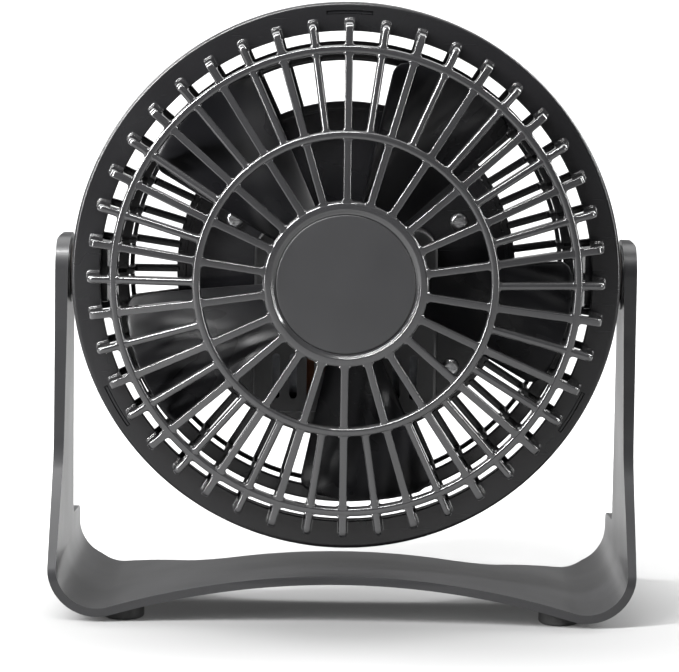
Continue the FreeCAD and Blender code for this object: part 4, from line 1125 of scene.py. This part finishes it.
@dataclass
class RearCover:
    """Round cover at the back, with its cooling slots, dial marks and cord gland."""

    wall: float = 2.2
    shoulder: float = 7.0
    vent_rows: int = 5
    vent_pitch: float = 7.0
    vent_top: float = 10.0
    vent_half: float = 1.3
    vent_inner: float = 3.5
    vent_outer: float = 17.0
    mark_radius: float = 16.2
    mark_height: float = 0.35
    numeral_size: float = 4.2
    bore: float = 3.2
    flange: float = 2.4
    low: Vector = field(default_factory=lambda: part_box("rear_cover")[0])
    high: Vector = field(default_factory=lambda: part_box("rear_cover")[1])

    def cover(self) -> bpy.types.Object:
        """Pot-shaped cover.

        Returns:
            The piece.
        """
        radius, front, rear = self.high.x, self.low.y, self.high.y
        inner = radius - self.wall
        form = Form().lathe([
            (0.0, rear - self.wall), (inner, rear - self.wall, 5.0), (inner, front), (radius, front, 0.3),
            (radius, front + 1.6, 0.3), (radius - 0.5, front + 1.9, 0.2), (radius - 0.5, front + 2.7, 0.2),
            (radius, front + 3.0, 0.3), (radius, rear, self.shoulder), (0.0, rear),
        ], arc_steps=8)
        through = (rear - self.wall - 1.0, rear + 1.0)
        holes = Form()
        for row in range(self.vent_rows):
            z = self.vent_top - row * self.vent_pitch
            for side in (-1, 1):
                low, high = sorted((side * self.vent_inner, side * self.vent_outer))
                half, end = self.vent_half, self.vent_half * 0.92
                holes.slab(box(low, high, z - half, z + half, end), Plane.FRONT, *through)
        form.boolean(holes)
        return form.piece("rear_cover_pot", Body.HEAD, FINISHES.housing, ["rear_cover"])

    def marks(self) -> bpy.types.Object:
        """Raised numerals round the knob for off, low and high.

        Returns:
            The piece.
        """
        knob = part_box("speed_knob")
        centre = Vector(((knob[0].x + knob[1].x) / 2, 0.0, (knob[0].z + knob[1].z) / 2))
        form = Form()
        for numeral, angle in (("0", 90.0), ("1", 135.0), ("2", 180.0)):
            curve = bpy.data.curves.new("numeral", "FONT")
            curve.body = numeral
            curve.size = self.numeral_size
            curve.extrude = self.mark_height
            curve.align_x = "CENTER"
            curve.align_y = "CENTER"
            letter = bpy.data.objects.new("numeral", curve)
            bpy.context.scene.collection.objects.link(letter)
            mesh = bpy.data.meshes.new_from_object(letter.evaluated_get(bpy.context.evaluated_depsgraph_get()))
            turn = math.radians(angle)
            place = centre + Vector((self.mark_radius * math.cos(turn), self.high.y, self.mark_radius * math.sin(turn)))
            facing = Matrix.Rotation(math.pi, 4, "Z") @ Matrix.Rotation(math.pi / 2, 4, "X")
            mesh.transform(Matrix.Translation(place) @ facing)
            form.bm.from_mesh(mesh)
            bpy.data.objects.remove(letter)
            bpy.data.curves.remove(curve)
            bpy.data.meshes.remove(mesh)
        return form.piece("dial_numerals", Body.HEAD, FINISHES.switch)

    def gland(self) -> bpy.types.Object:
        """Rubber grommet that lines the cord inlet.

        Returns:
            The piece.
        """
        low, high = part_box("cord_gland")
        centre = Vector(((low.x + high.x) / 2, 0.0, (low.z + high.z) / 2))
        reach = (high.x - low.x) / 2
        rear, bore = high.y, self.bore
        flange = rear - self.flange
        form = Form().lathe([
            (bore, low.y, 0.3), (reach - 2.0, low.y, 0.3), (reach - 2.0, self.high.y), (reach, self.high.y, 0.4),
            (reach, flange, 0.8), (bore + 1.6, flange, 0.5), (bore + 1.6, rear, 0.6), (bore, rear, 0.5),
        ], steps=64)
        form.turn(Matrix.Translation(centre))
        return form.piece("cord_gland_grommet", Body.HEAD, FINISHES.rubber, ["cord_gland"])

    def build(self) -> list[bpy.types.Object]:
        """Cover, numerals and gland, as finished pieces."""
        return [self.cover(), self.marks(), self.gland()]


@dataclass
class SpeedKnob:
    """Knob with a fluted skirt, a grip bar and a pale pointer."""

    skirt: float = 3.4
    flutes: int = 24
    flute_radius: float = 0.9
    bar_half: float = 3.2
    pointer_half: float = 0.55
    low: Vector = field(default_factory=lambda: part_box("speed_knob")[0])
    high: Vector = field(default_factory=lambda: part_box("speed_knob")[1])

    def build(self) -> list[bpy.types.Object]:
        """Knob and its pointer line.

        Returns:
            The pieces.
        """
        centre = Matrix.Translation((0.0, 0.0, (self.low.z + self.high.z) / 2))
        radius, front, rear = self.high.x, self.low.y, self.high.y
        form = Form().lathe([(0.0, front), (radius, front, 0.4), (radius, front + self.skirt, 1.2),
                             (0.0, front + self.skirt)], steps=96)
        cutter = Form().lathe(box(0.0, self.flute_radius, front - 1.0, front + self.skirt + 1.0), steps=12)
        flutes = Form().stamp(cutter, [radial(7.5 + index * 360.0 / self.flutes)
                                       @ Matrix.Translation((radius + 0.35, 0, 0)) for index in range(self.flutes)])
        form.boolean(flutes)
        reach, half, end = radius - 0.6, self.bar_half, self.bar_half * 0.92
        bar = Form().slab(box(-half, half, -reach, reach, end), Plane.FRONT, front + 2.0, rear, steps=8)
        bar.bevel(1.0, 4, lambda middle: middle.y > rear - WELD)
        form.stamp(bar, [Matrix.Identity(4)])
        form.turn(centre)
        knob = form.piece("speed_knob_grip", Body.KNOB, FINISHES.knob, ["speed_knob"])
        width = self.pointer_half
        line = Form().slab(box(-width, width, 4.0, reach - 1.6, 0.4), Plane.FRONT, rear - 0.3, rear - 0.02)
        line.turn(centre)
        return [knob, line.piece("knob_pointer", Body.KNOB, FINISHES.switch)]


@dataclass
class Impeller:
    """Five fan-shaped blades on a domed boss."""

    blades: int = 5
    phase: float = -12.0
    half_angle: float = 18.0
    thickness: float = 1.6
    root_radius: float = 18.5
    tip_radius: float = 82.7
    root_pitch: float = 46.0
    tip_pitch: float = 21.0
    camber: float = 0.045
    boss_radius: float = 20.0
    boss_length: float = 17.0
    boss_wall: float = 2.2
    blade_middle: float = 1.5
    tip_round: float = 6.0
    clip: tuple[Vector, Vector] = field(default_factory=lambda: part_box("hub_clip"))

    def blade(self, middle: float) -> Form:
        """One blade along +X.

        Args:
            middle: Depth of the blade's middle.

        Returns:
            The blade.
        """
        form = Form()
        bmesh.ops.create_grid(form.bm, x_segments=28, y_segments=40, size=1.0)

        def twisted(place: Vector) -> Vector:
            """Take a vertex of the flat grid to the twisted, cambered blade.

            Args:
                place: In the grid, from -1 to 1 each way.

            Returns:
                Its new place.
            """
            across, share = place.x, (place.y + 1.0) / 2
            radius = self.root_radius + (self.tip_radius - self.root_radius) * share
            from_tip = self.tip_radius - radius
            edge = self.half_angle
            if from_tip < self.tip_round:
                away = self.tip_round - from_tip
                narrowed = self.tip_round - math.sqrt(max(self.tip_round ** 2 - away ** 2, 0.0))
                edge -= math.degrees(narrowed / radius)
            turn = math.radians(edge * across)
            pitch = math.radians(self.root_pitch + (self.tip_pitch - self.root_pitch) * share)
            span = radius * math.tan(math.radians(self.half_angle))
            rise = 2 * span / math.cos(pitch) * self.camber * (1.0 - across * across)
            depth = middle - radius * math.tan(turn) * math.tan(pitch) - rise * math.cos(pitch)
            return Vector((radius * math.cos(turn), depth, radius * math.sin(turn)))

        form.shape(twisted)
        bmesh.ops.recalc_face_normals(form.bm, faces=form.bm.faces[:])
        bmesh.ops.solidify(form.bm, geom=form.bm.faces[:], thickness=self.thickness)
        return form.bevel(0.5, 3, least=60.0)

    def boss(self) -> Form:
        """Domed boss with its sleeve round the shaft.

        Returns:
            The boss.
        """
        front = self.clip[1].y
        rear = front + self.boss_length
        shaft, wall, radius = 1.6, self.boss_wall, self.boss_radius
        return Form().lathe([
            (shaft, front), (6.0, front, 0.8), (radius, front + 2.5, 4.0), (radius, rear, 0.5),
            (radius - wall, rear, 0.5),
            (radius - wall, front + 2.5 + wall, 3.0), (5.0, front + wall, 1.0), (5.0, rear), (shaft, rear),
        ], steps=96, arc_steps=8)

    def build(self) -> bpy.types.Object:
        """The whole impeller as one moulding.

        Returns:
            The piece.
        """
        grille = FrontCage()
        middle = grille.rim_face + self.blade_middle
        form = Form()
        turns = [radial(self.phase + index * 360.0 / self.blades) for index in range(self.blades)]
        form.stamp(self.blade(middle), turns)
        form.stamp(self.boss(), [Matrix.Identity(4)])
        return form.piece("impeller_moulding", Body.IMPELLER, FINISHES.blade, ["fan_blade"])


@dataclass
class Stand:
    """U-shaped band with arms, corners, arched base and wings, its feet and its pivot caps."""

    top_thickness: float = 5.0
    thickness: float = 3.1
    flare: float = 0.4
    edge_round: float = 0.9
    arm_round: float = 13.0
    arm_half: float = 14.0
    ease: float = 2.5
    corner_radius: float = 18.0
    corner_lift: float = 2.0
    rise: float = 15.1
    wing_height: float = 26.0
    front_height: float = 17.0
    waist_depth: float = 8.0
    shoulder_inset: float = 11.0
    waist_inset: float = 55.0
    pad_radius: float = 12.0
    pad_proud: float = 0.3
    trunnion_hole: float = 6.1
    cap_play: float = 0.1
    cap_wall: float = 0.6
    cap_face: float = 0.5
    low: Vector = field(default_factory=lambda: part_box("stand")[0])
    high: Vector = field(default_factory=lambda: part_box("stand")[1])

    def __post_init__(self) -> None:
        """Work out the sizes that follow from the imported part."""
        self.floor = -PIVOT.z / MM
        self.outer_low = self.high.x
        self.outer = self.outer_low - self.flare
        self.inner = self.outer - self.top_thickness
        self.cap_low, self.cap_high = part_box("pivot_cap_right")
        self.corner_x = self.outer_low - self.corner_radius
        self.corner_z = self.floor + self.corner_lift + self.corner_radius
        drop = self.corner_lift + self.corner_radius - self.rise
        self.arch_radius = ((self.corner_x ** 2 + drop ** 2 - self.corner_radius ** 2)
                            / (2 * (self.corner_radius - drop)))
        self.arch_z = self.floor + self.rise - self.arch_radius
        self.lean = math.degrees(math.atan2(self.corner_z - self.arch_z, self.corner_x))

    def line(self, inset: float) -> list[Corner]:
        """Right half of the band's lower line, from the middle of the base up to the arm.

        Args:
            inset: How far inside the band's outside it runs.

        Returns:
            Its points in the front view.
        """
        points = []
        for step in range(41):
            turn = math.radians(90.0 + (self.lean - 90.0) * step / 40)
            radius = self.arch_radius + inset
            points.append((radius * math.cos(turn), self.arch_z + radius * math.sin(turn)))
        for step in range(1, 25):
            turn = math.radians((self.lean - 180.0) * (1.0 - step / 24))
            radius = self.corner_radius - inset
            points.append((self.corner_x + radius * math.cos(turn), self.corner_z + radius * math.sin(turn)))
        return points

    def front_view(self) -> list[Corner]:
        """Closed outline of the whole band: arms, corners and arched base.

        Returns:
            Its corners.
        """
        outside = self.line(0.0) + [(self.outer, self.high.z, self.ease)]
        inside = self.line(self.thickness) + [(self.inner, self.high.z, 0.6)]
        half = outside + inside[::-1]
        mirror = [(-corner[0], *corner[1:]) for corner in half[::-1]]
        return half + mirror[1:-1]

    def side_view(self) -> list[Corner]:
        """Side outline of the arms, wings and base.

        Returns:
            Its corners.
        """
        half, front, rear, floor = self.arm_half, self.low.y, self.high.y, self.floor
        return [
            (-half, half, self.arm_round), (half, half, self.arm_round), (half, -21.0, 60.0),
            (half + 7.0, -66.0, 60.0), (half + 13.0, floor + self.wing_height + 2.0, 3.0),
            (rear, floor + self.wing_height, 5.0), (rear, floor - 1.0), (front, floor - 1.0),
            (front, floor + self.front_height, 12.0), (-half - 2.0, -66.0, 30.0), (-half, -21.0, 60.0),
        ]

    def plan(self) -> list[Corner]:
        """Plan outline: straight in front, drawn in to a waist behind.

        Returns:
            Its corners.
        """
        wide, front, rear = self.outer_low + 2.0, self.low.y - 1.0, self.high.y + 1.0
        shoulder = self.outer_low - self.shoulder_inset
        waist = self.outer_low - self.waist_inset
        return [
            (-wide, front), (wide, front), (wide, rear), (shoulder, rear, 6.0), (waist, self.waist_depth, 28.0),
            (-waist, self.waist_depth, 28.0), (-shoulder, rear, 6.0), (-wide, rear),
        ]

    def band(self) -> bpy.types.Object:
        """The whole band as one moulding.

        Returns:
            The piece.
        """
        wide = self.outer_low + 5.0
        form = Form().slab(self.front_view(), Plane.FRONT, self.low.y - 2.0, self.high.y + 2.0, steps=6)
        form.boolean(Form().slab(self.side_view(), Plane.SIDE, -wide, wide, steps=12), "INTERSECT")
        form.boolean(Form().slab(self.plan(), Plane.RADIAL, self.floor - 1.0, self.high.z + 5.0, steps=12), "INTERSECT")
        bmesh.ops.remove_doubles(form.bm, verts=form.bm.verts[:], dist=0.03)
        form.bevel(self.edge_round, 3, least=50.0)
        seat = self.cap_low.x
        for side in (0.0, math.pi):
            turn = Matrix.Rotation(side, 4, "Z")
            pad = self.pin(self.pad_radius, self.inner - self.pad_proud, self.outer - 1.0, 0.3)
            form.boolean(pad.turn(turn), "UNION")
            form.boolean(self.pin(self.trunnion_hole, self.inner - 5.0, self.outer - 0.5).turn(turn))
            form.boolean(self.pin(self.cap_high.z + self.cap_play, seat, self.outer + 5.0).turn(turn))
        return form.piece("stand_band", Body.STAND, FINISHES.stand, ["stand"])

    def pin(self, radius: float, start: float, end: float, edge: float = 0.0) -> Form:
        """Round peg along the tilt axis, from start to end along +X, with a round on its first edge."""
        form = Form().lathe([(0.0, start), (radius, start, edge), (radius, end), (0.0, end)], steps=72)
        return form.turn(Matrix.Rotation(-math.pi / 2, 4, "Z"))

    def caps(self) -> list[bpy.types.Object]:
        """Snap-in caps over the pivots, with a shallow dish.

        Returns:
            The pieces.
        """
        radius, seat, face = self.cap_high.z, self.cap_low.x, self.cap_high.x
        bore, back = radius - self.cap_wall, face - self.cap_face
        caps = []
        for side, name in ((1, "right"), (-1, "left")):
            form = Form().lathe([
                (0.0, face - 0.2), (radius - 2.6, face - 0.2, 0.4), (radius - 1.9, face, 0.3), (radius, face, 0.35),
                (radius, seat, 0.15), (bore, seat, 0.15), (bore, back, 0.2), (0.0, back),
            ], steps=72)
            form.turn(Matrix.Rotation(-side * math.pi / 2, 4, "Z"))
            caps.append(form.piece(f"pivot_cap_disc_{name}", Body.STAND, FINISHES.stand, [f"pivot_cap_{name}"]))
        return caps

    def feet(self) -> list[bpy.types.Object]:
        """Rubber feet, with a tread ring underneath and tops that follow the base.

        Returns:
            The pieces.
        """
        feet = []
        for name in ("front_left", "front_right", "rear_left", "rear_right"):
            low, high = part_box(f"foot_{name}")
            centre = (low + high) / 2
            radius = (high.x - low.x) / 2
            form = Form().lathe([
                (0.0, 0.5), (radius - 3.2, 0.5, 0.2), (radius - 2.8, 0.0, 0.2), (radius, 0.0, 1.0), (radius, 1.9),
                (radius, 100.0), (0.0, 100.0),
            ], steps=64)
            form.turn(Matrix.Translation((centre.x, centre.y, 0.0)) @ Matrix.Rotation(math.pi / 2, 4, "X"))

            def seated(place: Vector) -> Vector:
                """Put the foot on the floor and its top inside the arched base.

                Args:
                    place: Of a vertex.

                Returns:
                    Its new place.
                """
                place.z = self.floor + place.z if place.z < 50.0 else self.arch_z + math.sqrt(
                    self.arch_radius ** 2 - place.x ** 2)
                return place

            form.shape(seated)
            feet.append(form.piece(f"foot_pad_{name}", Body.STAND, FINISHES.rubber, [f"foot_{name}"]))
        return feet

    def build(self) -> list[bpy.types.Object]:
        """Band, caps and feet, as finished pieces."""
        return [self.band(), *self.caps(), *self.feet()]


@dataclass
class Motor:
    """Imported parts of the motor, switch and pivots, which keep their shape."""

    def build(self) -> None:
        """Give each of the parts its finish."""
        FINISHES.stack.dress("stator_laminations", "coil_core", "rotor_core")
        FINISHES.winding.dress("coil_winding")
        FINISHES.bobbin.dress("coil_bobbin", "front_thrust_washer", "rear_thrust_washer", "switch_shaft")
        FINISHES.copper.dress("shading_rings")
        FINISHES.alloy.dress("front_bracket", "rear_bracket", "rotor_end_rings")
        FINISHES.bronze.dress("front_bearing", "rear_bearing")
        FINISHES.shaft.dress("motor_shaft", "hub_clip")
        FINISHES.screw.dress("motor_screws", "pivot_keepers", "pivot_screws")
        FINISHES.sleeve.dress("thermal_fuse")
        FINISHES.switch.dress("terminal_block", "switch_body")
        FINISHES.fibre.dress("friction_washer_left", "friction_washer_right")


@dataclass(frozen=True)
class Paper(Finish):
    """White sweep with a faint tooth and a painted soft shadow round the fan, which reflections see darker."""

    glow: float = 0.08
    thrown: float = 0.76
    far_share: float = 0.33
    far_start: float = 0.85
    far_end: float = 1.25
    painted_shadow: float = 0.5
    painted_shadow_middle: tuple[float, float] = (0.0, -0.05)
    painted_shadow_reach: tuple[float, float] = (0.17, 0.10)

    def build(self, shader: Shader) -> bpy.types.Material:
        """Wire the material's nodes.

        Args:
            shader: New material.

        Returns:
            The finished material.
        """
        seen = shader.add("ShaderNodeLightPath").outputs["Is Camera Ray"]
        tone = shader.blend(shader.noise(14.0, 3.0), shade(self.colour, 0.99), shade(self.colour, 1.0))
        place = shader.place
        along = shader.add("ShaderNodeSeparateXYZ", {0: place}).outputs["Y"]
        far = shader.spread(along, 0.0, 1.0, self.far_start, self.far_end)
        thrown = shader.blend(far, shade(self.colour, self.thrown), shade(self.colour, self.thrown * self.far_share))
        # Painted shadow: floor colour and glow are darkened in a soft ellipse round the fan's base, for camera rays
        # only.
        middle, reach = self.painted_shadow_middle, self.painted_shadow_reach
        shift = (-middle[0] / reach[0], -middle[1] / reach[1], 0.0)
        scale = (1.0 / reach[0], 1.0 / reach[1], 1.0)
        spot = shader.add("ShaderNodeMapping", {"Vector": place, "Location": shift, "Scale": scale}).outputs["Vector"]
        distance = shader.add("ShaderNodeVectorMath", {0: spot}, operation="LENGTH").outputs["Value"]
        lit = shader.spread(distance, self.painted_shadow, 1.0, 0.1, 1.3)
        tone = shader.blend(lit, (0.0, 0.0, 0.0, 1.0), tone)
        tone = shader.blend(seen, thrown, tone)
        tooth = shader.bump(shader.noise(900.0, 2.0), 0.05, 0.0001)
        return shader.wire(Base_Color=tone, Roughness=self.roughness, Normal=tooth, Specular_IOR_Level=0.0,
                           Emission_Color=(1.0, 1.0, 1.0, 1.0),
                           Emission_Strength=shader.maths("MULTIPLY", shader.maths("MULTIPLY", seen, lit), self.glow))


@dataclass
class Studio:
    """Floor and sweep, soft lights and the camera."""

    distance: float = 1.0
    elevation: float = 6.0
    pitch: float = 82.796
    heading: float = 0.12
    roll: float = 0.8
    lens: float = 145.0
    sensor: float = 36.0
    floor_half: float = 3.0
    wall_back: float = 1.6
    wall_top: float = 2.6
    sweep: float = 0.7
    ambient: float = 0.10
    panel_angles: tuple[float, ...] = (95.0, 118.0, 141.0, 164.0, 187.0)
    panel_radius: float = 1.1
    panel_front: float = -0.65
    panel_size: tuple[float, float] = (0.42, 0.10)
    panel_powers: tuple[float, ...] = (10.0, 17.0, 24.0, 15.0, 5.0)

    def backdrop(self) -> bpy.types.Object:
        """Pale floor that sweeps up behind the fan.

        Returns:
            The stage.
        """
        back, top, radius = self.wall_back, self.wall_top, self.sweep
        line = [Vector((-self.floor_half, 0.0)), Vector((back - radius, 0.0))]
        for step in range(1, 25):
            turn = math.radians(90.0 * step / 24)
            line.append(Vector((back - radius + radius * math.sin(turn), radius - radius * math.cos(turn))))
        line.append(Vector((back, top)))
        bm = bmesh.new()
        verts = [bm.verts.new((-self.floor_half, point.x, point.y)) for point in line]
        edges = [bm.edges.new(pair) for pair in zip(verts, verts[1:])]
        made = bmesh.ops.extrude_edge_only(bm, edges=edges)["geom"]
        moved = [item for item in made if isinstance(item, bmesh.types.BMVert)]
        bmesh.ops.translate(bm, verts=moved, vec=(2 * self.floor_half, 0.0, 0.0))
        bmesh.ops.recalc_face_normals(bm, faces=bm.faces[:])
        mesh = bpy.data.meshes.new("studio_floor")
        bm.to_mesh(mesh)
        bm.free()
        mesh.shade_smooth()
        mesh.materials.append(Paper("paper", (0.34, 0.34, 0.34), 0.9).material())
        floor = bpy.data.objects.new("studio_floor", mesh)
        bpy.context.scene.collection.objects.link(floor)
        return floor

    def softbox(self, name: str, place: Sequence[float], size: tuple[float, float], power: float,
                aim: Sequence[float] = (0.0, 0.0, 0.11)) -> bpy.types.Object:
        """Rectangular soft light.

        Args:
            name: Of the light.
            place: Its middle, in metres.
            size: Its width and height, in metres.
            power: In watts.
            aim: Point that it faces.

        Returns:
            The light.
        """
        data = bpy.data.lights.new(name, "AREA")
        data.shape = "RECTANGLE"
        data.size, data.size_y = size
        data.energy = power
        light = bpy.data.objects.new(name, data)
        light.location = place
        light.rotation_euler = (Vector(aim) - Vector(place)).to_track_quat("-Z", "Y").to_euler()
        bpy.context.scene.collection.objects.link(light)
        return light

    def panel_twist(self, facing: Vector, angle: float) -> float:
        """Turn that lays a panel's long side along the arc.

        Args:
            facing: Direction that the panel faces.
            angle: Its place on the arc, in radians.

        Returns:
            The turn about the panel's own axis, in radians.
        """
        own = facing.to_track_quat("-Z", "Y") @ Vector((1.0, 0.0, 0.0))
        along = Vector((-math.sin(angle), 0.0, math.cos(angle)))
        axis = facing.normalized()
        return -math.atan2(own.cross(along).dot(axis), own.dot(along))

    def lights(self) -> None:
        """Arc of bright narrow panels from the left to the top, softer ones elsewhere, and washes on the sweep."""
        for number, turn in enumerate(self.panel_angles):
            angle = math.radians(turn)
            place = (self.panel_radius * math.cos(angle), self.panel_front, 0.125 + self.panel_radius * math.sin(angle))
            panel = self.softbox(f"arc_panel_{number}", place, self.panel_size, self.panel_powers[number])
            facing = Vector((0.0, 0.0, 0.125)) - Vector(place)
            panel.rotation_euler = facing.to_track_quat("-Z", "Y").to_euler()
            panel.rotation_euler.rotate_axis("Z", self.panel_twist(facing, angle))
        self.softbox("right_strip", (1.05, -0.5, 0.25), (0.10, 0.7), 8.0)
        self.softbox("overhead", (0.0, 0.3, 1.3), (1.4, 0.8), 14.0)
        self.softbox("wall_wash_left", (-1.1, 0.45, 1.0), (0.6, 1.0), 60.0, (-0.2, 1.5, 0.5))
        self.softbox("wall_wash_right", (1.1, 0.45, 1.0), (0.6, 1.0), 60.0, (0.2, 1.5, 0.5))
        world = bpy.data.worlds.new("studio")
        world.use_nodes = True
        background = world.node_tree.nodes["Background"]
        background.inputs["Color"].default_value = (1.0, 1.0, 1.0, 1.0)
        background.inputs["Strength"].default_value = self.ambient
        bpy.context.scene.world = world

    def camera(self) -> bpy.types.Object:
        """Camera in front of the cage, a little above its axis.

        Returns:
            The camera.
        """
        face = PIVOT + Vector((0.0, FrontCage().rim_face * MM, 0.0))
        rise = math.radians(self.elevation)
        data = bpy.data.cameras.new("camera")
        data.lens = self.lens
        data.sensor_width = self.sensor
        data.clip_start = 0.02
        camera = bpy.data.objects.new("camera", data)
        place = face + self.distance * Vector((0.0, -math.cos(rise), math.sin(rise)))
        turns = [Matrix.Rotation(math.radians(self.heading), 4, "Z"), Matrix.Rotation(math.radians(self.pitch), 4, "X"),
                 Matrix.Rotation(math.radians(self.roll), 4, "Z")]
        camera.matrix_world = Matrix.Translation(place) @ turns[0] @ turns[1] @ turns[2]
        bpy.context.scene.collection.objects.link(camera)
        bpy.context.scene.camera = camera
        return camera

    def build(self) -> None:
        """Camera, stage and lights, with colours shown as they are lit."""
        self.camera()
        self.backdrop()
        self.lights()
        bpy.context.scene.view_settings.view_transform = "Standard"


def main() -> None:
    """Build every part of the fan and the studio."""
    logging.basicConfig(level=logging.INFO, format="%(name)s %(message)s")
    Studio().build()
    front = FrontCage()
    front.build()
    RearCage(front).build()
    MotorCover().build()
    RearCover().build()
    SpeedKnob().build()
    Impeller().build()
    Stand().build()
    Motor().build()


if __name__ == "__main__":
    main()
